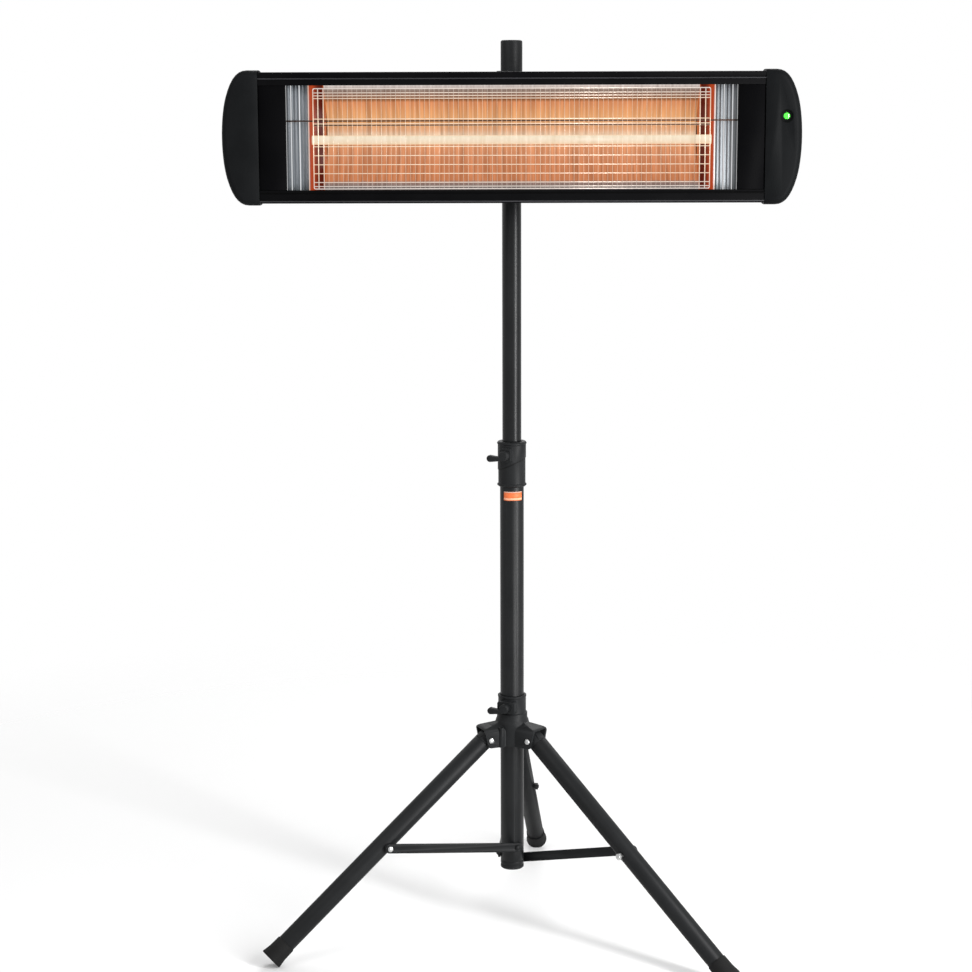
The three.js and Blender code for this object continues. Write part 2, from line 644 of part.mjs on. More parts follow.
function upperCollar() {
  const body = turned([
    [0, COLLAR_BOTTOM],
    [COLLAR_R - 0.6, COLLAR_BOTTOM],
    [COLLAR_LIP_R, COLLAR_BOTTOM + 1.8],
    [COLLAR_LIP_R, COLLAR_BOTTOM + 3],
    [COLLAR_R, COLLAR_BOTTOM + 4.6],
    [COLLAR_R, COLLAR_TOP - 5.2],
    [COLLAR_LIP_R, COLLAR_TOP - 3.2],
    [COLLAR_LIP_R, COLLAR_TOP - 1.6],
    [COLLAR_LIP_R - 1.4, COLLAR_TOP],
    [0, COLLAR_TOP],
  ]);
  const sleeve = ring(COLUMN_R + 1, COLLAR_UPPER_R, COLLAR_BOTTOM + 10, COLLAR_TOP - 4.4);
  const above = block(-60, 60, -60, 60, 0, COLLAR_HEIGHT).rotateY(-COLLAR_SEAM_TILT);
  above.translate(0, 0, COLLAR_TOP - COLLAR_SEAM);
  const boss = towardsKnob(knobBoss(COLLAR_PAD, COLLAR_UPPER_R - 4, COLLAR_BOSS_END), UPPER_KNOB_Z);
  const bore = turned([
    [0, COLLAR_BOTTOM - 1],
    [COLUMN_R + GAP, COLLAR_BOTTOM - 1],
    [COLUMN_R + GAP, COLLAR_TOP - COLLAR_ROOF],
    [MAST_R + GAP, COLLAR_TOP - COLLAR_ROOF],
    [MAST_R + GAP, COLLAR_TOP + 1],
    [0, COLLAR_TOP + 1],
  ]);
  return cut(join(body, meet(sleeve, above), boss), bore, towardsKnob(clampStudHole(), UPPER_KNOB_Z));
}

function collarBush() {
  const inner = MAST_R + GAP;
  const sleeve = COLUMN_BORE - GAP;
  const flangeLow = COLUMN_TOP + GAP;
  const bush = turned([
    [inner, flangeLow - BUSH_LENGTH],
    [sleeve, flangeLow - BUSH_LENGTH],
    [sleeve, flangeLow],
    [COLUMN_R, flangeLow],
    [COLUMN_R, flangeLow + BUSH_FLANGE],
    [inner, flangeLow + BUSH_FLANGE],
  ]);
  return cut(bush, towardsKnob(clampStudHole(), UPPER_KNOB_Z));
}

// Thin film wrapped round the front of the column, under the collar.
function columnLabel() {
  const inner = COLUMN_R + 0.1;
  const front = -Math.PI / 2 + LABEL_TURN;
  const shape = new THREE.Shape();
  shape.absarc(0, 0, inner + LABEL_THICK, front - LABEL_SPAN / 2, front + LABEL_SPAN / 2, false);
  shape.absarc(0, 0, inner, front + LABEL_SPAN / 2, front - LABEL_SPAN / 2, true);
  const top = COLLAR_BOTTOM - LABEL_DROP;
  return new THREE.ExtrudeGeometry(shape, { depth: LABEL_HEIGHT, bevelEnabled: false, curveSegments: 14 })
    .translate(0, 0, top - LABEL_HEIGHT);
}

function buildColumn() {
  piece('column_tube', columnTube(), paint);
  piece('column_plug', columnPlug(), moulded);
  piece('upper_collar', upperCollar(), moulded);
  piece('collar_bush', collarBush(), capPlastic);
  piece('column_label', columnLabel(), orangeFilm);
  for (const [side, azimuth] of Object.entries(LEG_AZIMUTHS)) {
    const arm = turnedGroup(azimuth);
    const outer = legPoint(BRACE_ON_LEG, BRACE_INSET);
    piece(`brace_bar_${side}`, braceBar(side), paint, arm);
    piece(`brace_screw_${side}`, braceScrew(BRACE_INNER).translate(outer.x, 0, outer.y), steel, arm);
    const pivot = braceScrew(COLUMN_R - BRACE_SCREW_IN).translate(0, 0, BRACE_PIVOT_Z[side]);
    piece(`pivot_screw_${side}`, pivot, paint, arm);
  }
}

// ---------------------------------------------------------------- clamp knobs

// Lever knob on +X: a round hub, one tapered lever towards -Y, and its stud back to a tube.
function leverKnob(bossEnd, tubeRadius) {
  const seat = bossEnd + GAP;
  const hub = turned([
    [0, 0], [KNOB_R, 0], [KNOB_R, KNOB_DEPTH - 1.6], [KNOB_R - 1.6, KNOB_DEPTH], [0, KNOB_DEPTH],
  ], KNOB_SIDES).rotateY(Math.PI / 2).translate(seat, 0, 0);
  const lever = new THREE.Shape();
  lever.absarc(0, 0, LEVER_ROOT, 0, Math.PI, false);
  lever.absarc(-LEVER_LENGTH + LEVER_TIP, 0, LEVER_TIP, Math.PI / 2, Math.PI * 1.5, false);
  lever.absarc(0, 0, LEVER_ROOT, Math.PI * 1.5, Math.PI * 2, false);
  const edge = 1.4;
  const blade = alongX(lever, seat + 2 + edge, seat + KNOB_DEPTH - edge, {
    bevelEnabled: true, bevelSize: edge, bevelThickness: edge, bevelOffset: -edge, bevelSegments: 2,
    curveSegments: 6,
  }).rotateX(LEVER_DROOP);
  const stud = rod(STUD_R, tubeRadius + GAP, seat + 1, 'x');
  return join(hub, blade, stud);
}

function buildKnobs() {
  const upper = turnedGroup(KNOB_AZIMUTH);
  piece('upper_knob', leverKnob(COLLAR_BOSS_END, MAST_R).translate(0, 0, UPPER_KNOB_Z), moulded, upper);
  const lower = turnedGroup(KNOB_AZIMUTH);
  piece('lower_knob', leverKnob(NECK_BOSS_END, COLUMN_R).translate(0, 0, LOWER_KNOB_Z), moulded, lower);
}

// ---------------------------------------------------------------- upper mast

function mastTube() {
  return ring(MAST_R - MAST_WALL, MAST_R, MAST_BOTTOM, MAST_TOP);
}

function mastShoe() {
  const plug = MAST_R - MAST_WALL - GAP;
  const guide = COLUMN_BORE - GAP;
  return turned([
    [0, MAST_BOTTOM - SHOE_LENGTH],
    [guide - 1.5, MAST_BOTTOM - SHOE_LENGTH],
    [guide, MAST_BOTTOM - SHOE_LENGTH + 1.5],
    [guide, MAST_BOTTOM - GAP],
    [plug, MAST_BOTTOM - GAP],
    [plug, MAST_BOTTOM + SHOE_PLUG - 1.5],
    [plug - 1.5, MAST_BOTTOM + SHOE_PLUG],
    [0, MAST_BOTTOM + SHOE_PLUG],
  ]);
}

function mastCap() {
  const top = MAST_TOP + GAP + CAP_ROOF;
  const bottom = top - CAP_LENGTH;
  const tab = rod(CAP_TAB_R, bottom + 9, bottom + 12.6, 'z', TUBE_SIDES).translate(-CAP_TAB_OFFSET, 0, 0);
  const bore = rod(MAST_R + GAP, bottom - 1, top - CAP_ROOF, 'z', TUBE_SIDES);
  const shell = turned([
    [MAST_R + GAP, bottom],
    [CAP_R - 0.6, bottom],
    [CAP_R, bottom + 0.6],
    [CAP_R, top - CAP_EDGE],
    [CAP_R - CAP_EDGE * 0.3, top - CAP_EDGE * 0.3],
    [CAP_R - CAP_EDGE, top],
    [0, top],
    [0, top - CAP_ROOF],
    [MAST_R + GAP, top - CAP_ROOF],
  ]);
  return join(shell, cut(tab, bore));
}

// Front half of the clamp, with the lug that the head tilts on.
function clampFront() {
  const [wing, root, nose] = [CLAMP_HALF_X, MAST_R + 2.6, MAST_R];
  const jaw = outline([
    [-wing, -CLAMP_SPLIT], [-wing, -CLAMP_EAR], [-root, -CLAMP_EAR], [-nose, CLAMP_FRONT_Y],
    [nose, CLAMP_FRONT_Y], [root, -CLAMP_EAR], [wing, -CLAMP_EAR], [wing, -CLAMP_SPLIT],
  ]);
  const body = alongZ(jaw, HEAD_Z - CLAMP_HALF_Z, HEAD_Z + CLAMP_HALF_Z);
  const eye = new THREE.Vector2(TILT_Y, HEAD_Z);
  const base = new THREE.Vector2(CLAMP_FRONT_Y + LUG_R + 1, HEAD_Z);
  const lug = alongX(linkShape(eye, base, LUG_R), -LUG_HALF, LUG_HALF, { curveSegments: 8 });
  const holes = [
    ring(0, MAST_R + GAP, HEAD_Z - 40, HEAD_Z + 40),
    rod(TILT_BOLT_R + GAP, -40, 40, 'x').translate(0, TILT_Y, HEAD_Z),
    rod(PIN_R + GAP, -40, 10, 'y').translate(-CLAMP_BOLT_X, 0, HEAD_Z),
    rod(PIN_R + GAP, -40, 10, 'y').translate(CLAMP_BOLT_X, 0, HEAD_Z),
  ];
  return cut(join(body, lug), ...holes);
}

function clampRear() {
  const strap = new THREE.Shape();
  strap.moveTo(CLAMP_HALF_X, CLAMP_SPLIT);
  strap.lineTo(CLAMP_HALF_X, CLAMP_EAR);
  strap.lineTo(MAST_R + 2.6, CLAMP_EAR);
  strap.quadraticCurveTo(MAST_R - 1, CLAMP_BACK_Y, 0, CLAMP_BACK_Y);
  strap.quadraticCurveTo(-MAST_R + 1, CLAMP_BACK_Y, -MAST_R - 2.6, CLAMP_EAR);
  strap.lineTo(-CLAMP_HALF_X, CLAMP_EAR);
  strap.lineTo(-CLAMP_HALF_X, CLAMP_SPLIT);
  const body = new THREE.ExtrudeGeometry(strap, {
    depth: CLAMP_HALF_Z * 2, bevelEnabled: false, curveSegments: 6,
  }).translate(0, 0, HEAD_Z - CLAMP_HALF_Z);
  const holes = [
    ring(0, MAST_R + GAP, HEAD_Z - 40, HEAD_Z + 40),
    rod(PIN_R + GAP, -10, 40, 'y').translate(-CLAMP_BOLT_X, 0, HEAD_Z),
    rod(PIN_R + GAP, -10, 40, 'y').translate(CLAMP_BOLT_X, 0, HEAD_Z),
  ];
  return cut(body, ...holes);
}

function buildMast() {
  piece('upper_mast', mastTube(), paint);
  piece('mast_shoe', mastShoe(), capPlastic);
  piece('mast_cap', mastCap(), moulded);
  piece('clamp_front', clampFront(), moulded);
  piece('clamp_rear', clampRear(), moulded);
  for (const [side, x] of [['left', -CLAMP_BOLT_X], ['right', CLAMP_BOLT_X]]) {
    const bolt = throughBolt(PIN_R, -CLAMP_EAR - GAP, CLAMP_EAR + GAP);
    piece(`clamp_bolt_${side}`, bolt.translate(x, 0, HEAD_Z), steel);
  }
}

// ---------------------------------------------------------------- heater head

// The housing's section in (y, z) with the front plane at y = 0, inset by a wall.
function bodySection(shape, inset, reverse) {
  const h = BODY_HALF_HEIGHT - inset;
  const back = BODY_DEPTH - inset;
  const flat = BODY_BACK_FLAT / 2;
  if (reverse) {
    shape.lineTo(BODY_TOP_FLAT, h);
    shape.bezierCurveTo(BODY_TOP_FLAT + 30, h, back, flat + 26, back, flat);
    shape.lineTo(back, -flat);
    shape.bezierCurveTo(back, -flat - 26, BODY_TOP_FLAT + 30, -h, BODY_TOP_FLAT, -h);
  } else {
    shape.lineTo(BODY_TOP_FLAT, -h);
    shape.bezierCurveTo(BODY_TOP_FLAT + 30, -h, back, -flat - 26, back, -flat);
    shape.lineTo(back, flat);
    shape.bezierCurveTo(back, flat + 26, BODY_TOP_FLAT + 30, h, BODY_TOP_FLAT, h);
  }
}

function housing() {
  const h = BODY_HALF_HEIGHT;
  const w = BODY_WALL;
  const win = WINDOW_HALF_HEIGHT;
  const section = new THREE.Shape();
  section.moveTo(0, -win);
  section.lineTo(0, BEAD_LOWER + BEAD_R);
  section.lineTo(-BEAD_R * 0.7, BEAD_LOWER + BEAD_R * 0.5);
  section.lineTo(-BEAD_R * 0.7, BEAD_LOWER - BEAD_R * 0.5);
  section.lineTo(0, BEAD_LOWER - BEAD_R);
  section.lineTo(0, -h + BODY_CORNER);
  section.quadraticCurveTo(0, -h, BODY_CORNER, -h);
  bodySection(section, 0, false);
  section.lineTo(BODY_CORNER, h);
  section.quadraticCurveTo(0, h, 0, h - BODY_CORNER);
  section.lineTo(0, BEAD_UPPER + BEAD_R);
  section.lineTo(-BEAD_R * 0.7, BEAD_UPPER + BEAD_R * 0.5);
  section.lineTo(-BEAD_R * 0.7, BEAD_UPPER - BEAD_R * 0.5);
  section.lineTo(0, BEAD_UPPER - BEAD_R);
  section.lineTo(0, win);
  section.lineTo(LIP_DEPTH, win);
  section.lineTo(LIP_DEPTH, win + w);
  section.lineTo(w, win + w);
  section.lineTo(w, h - w);
  bodySection(section, w, true);
  section.lineTo(w, -h + w);
  section.lineTo(w, -win - w);
  section.lineTo(LIP_DEPTH, -win - w);
  section.lineTo(LIP_DEPTH, -win);
  const shell = alongX(section, -BODY_HALF, BODY_HALF, { curveSegments: 8 });
  return cut(shell, ...vents());
}

// Rows of cooling slots through the upper back, where the warm air leaves.
function vents() {
  const slots = [];
  const end = (VENT_LENGTH - VENT_HEIGHT) / 2;
  for (const row of VENT_ROWS) {
    for (let i = 0; i < VENT_COUNT; i += 1) {
      const x = (i - (VENT_COUNT - 1) / 2) * VENT_PITCH;
      const shape = linkShape(new THREE.Vector2(x - end, row), new THREE.Vector2(x + end, row), VENT_HEIGHT / 2);
      slots.push(alongY(shape, BODY_DEPTH - 30, BODY_DEPTH + 6, { curveSegments: 2 }));
    }
  }
  return slots;
}

// Front view of an end cap, in distance from its inner edge and height.
function capOutline(inset, open) {
  const h = CAP_HALF_HEIGHT - inset;
  const w = CAP_WIDTH - inset;
  const start = open ? -20 : 0;
  const shape = new THREE.Shape();
  shape.moveTo(start, -h);
  shape.lineTo(w - 33, -h);
  shape.bezierCurveTo(w - 20, -h, w - 12, -h + 11, w - 5.6, -h + 33.4);
  shape.bezierCurveTo(w - 1.8, -h + 47, w, -18, w, 0);
  shape.bezierCurveTo(w, 18, w - 1.8, h - 47, w - 5.6, h - 33.4);
  shape.bezierCurveTo(w - 12, h - 11, w - 20, h, w - 33, h);
  shape.lineTo(start, h);
  return shape;
}

function capSide(inset) {
  const grow = CAP_HALF_HEIGHT - BODY_HALF_HEIGHT - inset;
  const front = -CAP_PROUD + inset;
  const shape = new THREE.Shape();
  shape.moveTo(front, -BODY_HALF_HEIGHT - grow);
  bodySection(shape, -grow, false);
  shape.lineTo(front, BODY_HALF_HEIGHT + grow);
  return shape;
}

// The right-hand cap, a moulded shell that is open towards the housing.
function capShell() {
  const bevel = {
    bevelEnabled: true, bevelSize: CAP_FRONT_EDGE, bevelThickness: CAP_FRONT_EDGE,
    bevelOffset: -CAP_FRONT_EDGE, bevelSegments: 3, curveSegments: 7,
  };
  const face = alongY(capOutline(0, true), -CAP_PROUD + CAP_FRONT_EDGE, BODY_DEPTH + 20, bevel);
  const side = alongX(capSide(0), 0, CAP_WIDTH + 5, { curveSegments: 7 });
  const outer = meet(face, side);
  const innerFace = alongY(capOutline(CAP_SHELL, true), -CAP_PROUD + CAP_SHELL, BODY_DEPTH + 20,
    { curveSegments: 7 });
  const innerSide = alongX(capSide(CAP_SHELL), -10, CAP_WIDTH, { curveSegments: 7 });
  return cut(outer, meet(innerFace, innerSide));
}

function endCap(mirror, tools = []) {
  const shell = capShell().translate(BODY_HALF + GAP, 0, 0);
  const worked = tools.length ? cut(shell, ...tools) : shell;
  return mirror ? worked.scale(-1, 1, 1) : worked;
}

// Right-hand panel between the window and the cap, with a flange turned in beside the reflector.
function fascia(mirror) {
  const shape = outline([
    [WINDOW_HALF, 0.6], [BODY_HALF - GAP, 0.6], [BODY_HALF - GAP, 0.6 + FASCIA_SHEET],
    [WINDOW_HALF + FASCIA_SHEET, 0.6 + FASCIA_SHEET], [WINDOW_HALF + FASCIA_SHEET, FASCIA_RETURN],
    [WINDOW_HALF, FASCIA_RETURN],
  ]);
  const panel = alongZ(shape, -WINDOW_HALF_HEIGHT + GAP, WINDOW_HALF_HEIGHT - GAP);
  const hole = rod(GUARD_ROD_R + GAP, WINDOW_HALF - 2, WINDOW_HALF + 5, 'x');
  const drilled = cut(panel, hole.translate(0, GUARD_DEPTH + GUARD_ROD_R, GUARD_ROD_Z));
  return mirror ? drilled.scale(-1, 1, 1) : drilled;
}

// Trough bent from one sheet: a parabola with flat lips at its mouth.
function mainReflector() {
  const steps = 14;
  const depth = REFLECTOR_BACK - REFLECTOR_FRONT;
  const curve = (inset) => {
    const points = [];
    for (let i = 0; i <= steps; i += 1) {
      const z = (i / steps * 2 - 1) * (REFLECTOR_MOUTH - inset);
      const share = Math.abs(z) / (REFLECTOR_MOUTH - inset);
      points.push([REFLECTOR_BACK - inset - (depth - inset) * share ** 2.2, z]);
    }
    return points;
  };
  const behind = REFLECTOR_FRONT + REFLECTOR_SHEET;
  const section = outline([
    ...curve(0).slice(1, -1), [behind, REFLECTOR_MOUTH], [behind, REFLECTOR_LIP],
    [REFLECTOR_FRONT, REFLECTOR_LIP], ...curve(REFLECTOR_SHEET).reverse(),
    [REFLECTOR_FRONT, -REFLECTOR_LIP], [behind, -REFLECTOR_LIP], [behind, -REFLECTOR_MOUTH],
  ]);
  return alongX(section, -REFLECTOR_HALF, REFLECTOR_HALF);
}

// Sheet that closes one end of the trough: a fluted face beside the window, a wall that the lamp
// passes through, and a flange behind the trough's own end.
function endReflector(mirror) {
  const front = new THREE.Vector2(END_PLATE_FRONT, REFLECTOR_FRONT + REFLECTOR_SHEET);
  const turn = new THREE.Vector2(END_PLATE_INNER, END_PLATE_TURN);
  const along = turn.clone().sub(front);
  const normal = new THREE.Vector2(-along.y, along.x).normalize();
  const steps = END_PLATE_RIBS * 2;
  const face = (offset) => Array.from({ length: steps + 1 }, (_, i) => {
    const lift = offset + (i % 2 ? END_RIB_HEIGHT : 0);
    const spot = front.clone().addScaledVector(along, i / steps).addScaledVector(normal, lift);
    return [spot.x, spot.y];
  });
  const inner = REFLECTOR_HALF + GAP;
  const section = outline([
    ...face(-REFLECTOR_SHEET).slice(0, -1),
    [END_PLATE_INNER + REFLECTOR_SHEET, END_PLATE_TURN + REFLECTOR_SHEET],
    [END_PLATE_INNER + REFLECTOR_SHEET, END_PLATE_DEPTH + REFLECTOR_SHEET],
    [inner, END_PLATE_DEPTH + REFLECTOR_SHEET],
    [inner, END_PLATE_DEPTH],
    [END_PLATE_INNER, END_PLATE_DEPTH],
    ...face(0).reverse(),
  ]);
  const sheet = alongZ(section, -END_PLATE_HALF, END_PLATE_HALF);
  const lampHole = rod(LAMP_R + 1, END_PLATE_INNER - 6, END_PLATE_INNER + 6, 'x', KNOB_SIDES);
  const plate = cut(sheet, lampHole.translate(0, LAMP_DEPTH, LAMP_Z));
  return mirror ? plate.scale(-1, 1, 1) : plate;
}

function lampTube() {
  const tube = ring(LAMP_R - LAMP_WALL, LAMP_R, -LAMP_HALF, LAMP_HALF, KNOB_SIDES);
  return tube.rotateY(Math.PI / 2).translate(0, LAMP_DEPTH, LAMP_Z);
}

// Flat carbon strip with a slow twist.
function lampElement() {
  const length = LAMP_HALF * 2;
  const steps = ELEMENT_TURNS * 6;
  const strip = new THREE.BoxGeometry(length, ELEMENT_THICK, ELEMENT_WIDTH, steps, 1, 1);
  const place = strip.getAttribute('position');
  const spot = new THREE.Vector3();
  const axis = new THREE.Vector3(1, 0, 0);
  for (let i = 0; i < place.count; i += 1) {
    spot.fromBufferAttribute(place, i);
    spot.applyAxisAngle(axis, spot.x / length * ELEMENT_TURNS * Math.PI * 2);
    place.setXYZ(i, spot.x, spot.y, spot.z);
  }
  return strip.translate(0, LAMP_DEPTH, LAMP_Z);
}

// Right-hand ceramic end cap of the lamp.
function lampCap(mirror) {
  const cap = turned([
    [0, 0], [LAMP_CAP_R - 0.8, 0], [LAMP_CAP_R, 0.8], [LAMP_CAP_R, LAMP_CAP_LENGTH - 1],
    [LAMP_CAP_R - 1, LAMP_CAP_LENGTH], [0, LAMP_CAP_LENGTH],
  ], KNOB_SIDES).rotateY(Math.PI / 2).translate(LAMP_HALF + GAP, LAMP_DEPTH, LAMP_Z);
  return mirror ? cap.scale(-1, 1, 1) : cap;
}

// Sprung sheet bracket that carries one end of the lamp from the back of the housing.
function lampHolder(mirror) {
  const inner = BODY_DEPTH - BODY_WALL - GAP;
  const sheet = 1.4;
  const x = LAMP_HALF + LAMP_CAP_LENGTH - 8;
  const strip = outline([
    [x, LAMP_DEPTH + 1], [x + sheet, LAMP_DEPTH + 1], [x + sheet, inner - sheet], [x + 16, inner - sheet], [x + 16, inner], [x, inner],
  ]);
  const bracket = alongZ(strip, -13, 13);
  const hole = rod(LAMP_CAP_R + GAP, x - 3, x + 4, 'x', KNOB_SIDES).translate(0, LAMP_DEPTH, LAMP_Z);
  const holder = cut(bracket, hole);
  return mirror ? holder.scale(-1, 1, 1) : holder;
}

function guardFrame() {
  const w = GUARD_HALF;
  const corners = [
    [w, GUARD_LOWER], [w, GUARD_UPPER], [-w, GUARD_UPPER], [-w, GUARD_LOWER],
  ];
  const bars = corners.map(([x, z], i) => {
    const [nx, nz] = corners[(i + 1) % 4];
    if (x === nx) return rod(GUARD_FRAME_R, Math.min(z, nz), Math.max(z, nz), 'z', 6).translate(x, 0, 0);
    return rod(GUARD_FRAME_R, Math.min(x, nx), Math.max(x, nx), 'x', 6).translate(0, 0, z);
  });
  const knobs = corners.map(([x, z]) => new THREE.SphereGeometry(GUARD_FRAME_R * 1.08, 8, 6).translate(x, 0, z));
  return [...bars, ...knobs];
}

// Welded mesh: uprights in front, lengthwise wires behind them, and one rod to the fascias.
function wireGuard() {
  const wires = guardFrame().map((bar) => bar.translate(0, GUARD_DEPTH, 0));
  const uprights = Math.round(GUARD_HALF * 2 / GUARD_PITCH);
  for (let i = 1; i < uprights; i += 1) {
    const x = -GUARD_HALF + i * GUARD_HALF * 2 / uprights;
    wires.push(rod(GUARD_WIRE_R, GUARD_LOWER, GUARD_UPPER, 'z', 4).translate(x, GUARD_DEPTH, 0));
  }
  const behind = GUARD_DEPTH + GUARD_WIRE_R * 2 - GUARD_WELD;
  for (const z of GUARD_ROWS) {
    wires.push(rod(GUARD_WIRE_R, -GUARD_HALF - 0.6, GUARD_HALF + 0.6, 'x', 4).translate(0, behind, z));
  }
  const reach = WINDOW_HALF + FASCIA_SHEET + 1.5;
  wires.push(rod(GUARD_ROD_R, -reach, reach, 'x', 6).translate(0, GUARD_DEPTH + GUARD_ROD_R, GUARD_ROD_Z));
  return join(...wires);
}

// Dish in the right cap's front round the indicator, with the lens's hole through its floor.
function ledDish() {
  return turned([
    [0, -8], [LED_R + GAP, -8], [LED_R + GAP, -1.8], [LED_DISH_R - 1.6, -1.6], [LED_DISH_R, 2], [0, 2],
  ], KNOB_SIDES).rotateX(Math.PI / 2).translate(LED_X, -CAP_PROUD, LED_Z);
}

function ledLens() {
  return turned([
    [0, -8], [LED_R, -8], [LED_R, -1.4], [LED_R * 0.86, -0.7], [LED_R * 0.5, -0.2], [0, 0],
  ], KNOB_SIDES).rotateX(Math.PI / 2).translate(LED_X, -CAP_PROUD, LED_Z);
}

// Board behind the indicator, on two posts from the cap's front wall.
function controlBoard() {
  const front = -CAP_PROUD + 8 + GAP;
  const board = block(LED_X - 18, LED_X + 8, front, front + 1.6, LED_Z - 30, LED_Z + 18);
  const wall = -CAP_PROUD + CAP_SHELL + GAP;
  const posts = [-26, 14].map((dz) => rod(2.4, wall, front + 0.5, 'y').translate(LED_X - 13, 0, LED_Z + dz));
  const relay = block(LED_X - 14, LED_X - 2, front + 1, front + 14, LED_Z - 24, LED_Z - 6);
  return join(board, relay, ...posts);
}

// Gland on the right cap's back, where the supply lead enters.
function cableGland() {
  const back = BODY_DEPTH + CAP_HALF_HEIGHT - BODY_HALF_HEIGHT + GAP;
  return turned([
    [3.6, -7], [6.4, -7], [6.4, 0], [9, 0], [9, 3.4], [7.6, 3.4], [7.2, 10], [5.4, 13.4], [3.6, 13.4],
  ], KNOB_SIDES).rotateX(-Math.PI / 2).translate(BODY_HALF + 22, back, -14);
}

function glandHole() {
  return rod(6.4 + GAP, BODY_DEPTH - 10, BODY_DEPTH + 20, 'y', KNOB_SIDES).translate(BODY_HALF + 22, 0, -14);
}

// Bracket on the housing's back: a plate and two ears round the clamp's lug.
function tiltBracket() {
  const plateFront = BODY_DEPTH + GAP;
  const pivot = new THREE.Vector2(TILT_Y - HEAD_FRONT_Y, 0);
  const plate = new THREE.Shape();
  const [px, pz, r] = [PLATE_HALF_X, PLATE_HALF_Z, 6];
  plate.absarc(px - r, pz - r, r, 0, Math.PI / 2);
  plate.absarc(-px + r, pz - r, r, Math.PI / 2, Math.PI);
  plate.absarc(-px + r, -pz + r, r, Math.PI, Math.PI * 1.5);
  plate.absarc(px - r, -pz + r, r, Math.PI * 1.5, Math.PI * 2);
  const base = alongY(plate, plateFront, plateFront + EAR_SHEET, { curveSegments: 4 });
  const inner = LUG_HALF + TURN_GAP;
  const ears = [-1, 1].map((side) => {
    const ear = new THREE.Shape();
    ear.moveTo(plateFront + 1, -16);
    ear.absarc(pivot.x, pivot.y, LUG_R, -Math.PI / 2, Math.PI / 2, false);
    ear.lineTo(plateFront + 1, 16);
    const low = side > 0 ? inner : -inner - EAR_SHEET;
    return alongX(ear, low, low + EAR_SHEET, { curveSegments: 8 });
  });
  const hole = rod(TILT_BOLT_R + GAP, -30, 30, 'x').translate(0, pivot.x, 0);
  return cut(join(base, ...ears, ...bracketScrews()), hole);
}

// The four screw heads that hold the bracket's plate, joined to it.
function bracketScrews() {
  const seat = BODY_DEPTH + GAP + EAR_SHEET - 0.2;
  const places = [[-1, -1], [-1, 1], [1, -1], [1, 1]];
  return places.map(([i, k]) => {
    const head = dome(HEAD_R, HEAD_HEIGHT).rotateX(-Math.PI / 2);
    return head.translate(i * (PLATE_HALF_X - 8), seat, k * (PLATE_HALF_Z - 9));
  });
}

// Tilt bolt along X, its head on the right ear and its thread in the knob on the left.
function tiltBolt() {
  const ear = LUG_HALF + TURN_GAP + EAR_SHEET + GAP;
  const head = rod(5.6, ear, ear + 4, 'x', 6);
  return join(head, rod(TILT_BOLT_R, -ear - 8, ear + 1, 'x')).translate(0, TILT_Y - HEAD_FRONT_Y, 0);
}

function starKnob() {
  const shape = new THREE.Shape();
  const steps = STAR_LOBES * 6;
  for (let i = 0; i < steps; i += 1) {
    const angle = i / steps * Math.PI * 2;
    const radius = STAR_R - 1.3 + 1.3 * Math.cos(angle * STAR_LOBES);
    const [u, v] = [radius * Math.cos(angle), radius * Math.sin(angle)];
    if (i) shape.lineTo(u, v);
    else shape.moveTo(u, v);
  }
  const ear = LUG_HALF + TURN_GAP + EAR_SHEET + GAP;
  const edge = 1.2;
  const grip = alongX(shape, -ear - STAR_DEPTH + edge, -ear - 3 - edge, {
    bevelEnabled: true, bevelSize: edge, bevelThickness: edge, bevelOffset: -edge, bevelSegments: 1,
  });
  const neck = rod(6, -ear - 4, -ear, 'x', KNOB_SIDES);
  const bore = rod(TILT_BOLT_R + GAP, -ear - 8 - GAP, -ear + 1, 'x');
  return cut(join(grip, neck), bore).translate(0, TILT_Y - HEAD_FRONT_Y, 0);
}

function buildHead() {
  const head = new THREE.Group();
  head.position.set(0, HEAD_FRONT_Y, HEAD_Z);
  heater.add(head);
  piece('head_housing', housing(), paint, head);
  piece('end_cap_left', endCap(true), capPlastic, head);
  piece('end_cap_right', endCap(false, [ledDish(), glandHole()]), capPlastic, head);
  piece('fascia_left', fascia(true), paint, head);
  piece('fascia_right', fascia(false), paint, head);
  piece('main_reflector', mainReflector(), polished, head);
  piece('end_reflector_left', endReflector(true), polished, head);
  piece('end_reflector_right', endReflector(false), polished, head);
  piece('lamp_tube', lampTube(), quartz, head);
  piece('lamp_element', lampElement(), carbon, head);
  piece('lamp_cap_left', lampCap(true), ceramic, head);
  piece('lamp_cap_right', lampCap(false), ceramic, head);
  piece('lamp_holder_left', lampHolder(true), steel, head);
  piece('lamp_holder_right', lampHolder(false), steel, head);
  piece('wire_guard', wireGuard(), steel, head);
  piece('led_lens', ledLens(), greenLens, head);
  piece('control_board', controlBoard(), boardGreen, head);
  piece('cable_gland', cableGland(), moulded, head);
  piece('tilt_bracket', tiltBracket(), paint, head);
  piece('tilt_bolt', tiltBolt(), steel, head);
  piece('tilt_knob', starKnob(), moulded, head);
  return head;
}

// ---------------------------------------------------------------- assembly

buildHub();
for (const [side, azimuth] of Object.entries(LEG_AZIMUTHS)) buildLeg(side, azimuth);
buildColumn();
buildKnobs();
buildMast();
buildHead();

// The origin is the middle of the floor under the whole object.
heater.updateMatrixWorld(true);
const reach = new THREE.Box3().setFromObject(heater, true);
heater.position.set(-(reach.min.x + reach.max.x) / 2, -(reach.min.y + reach.max.y) / 2, 0);

export default heater;
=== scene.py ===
import math

import bmesh
import bpy
from mathutils import Matrix, Vector


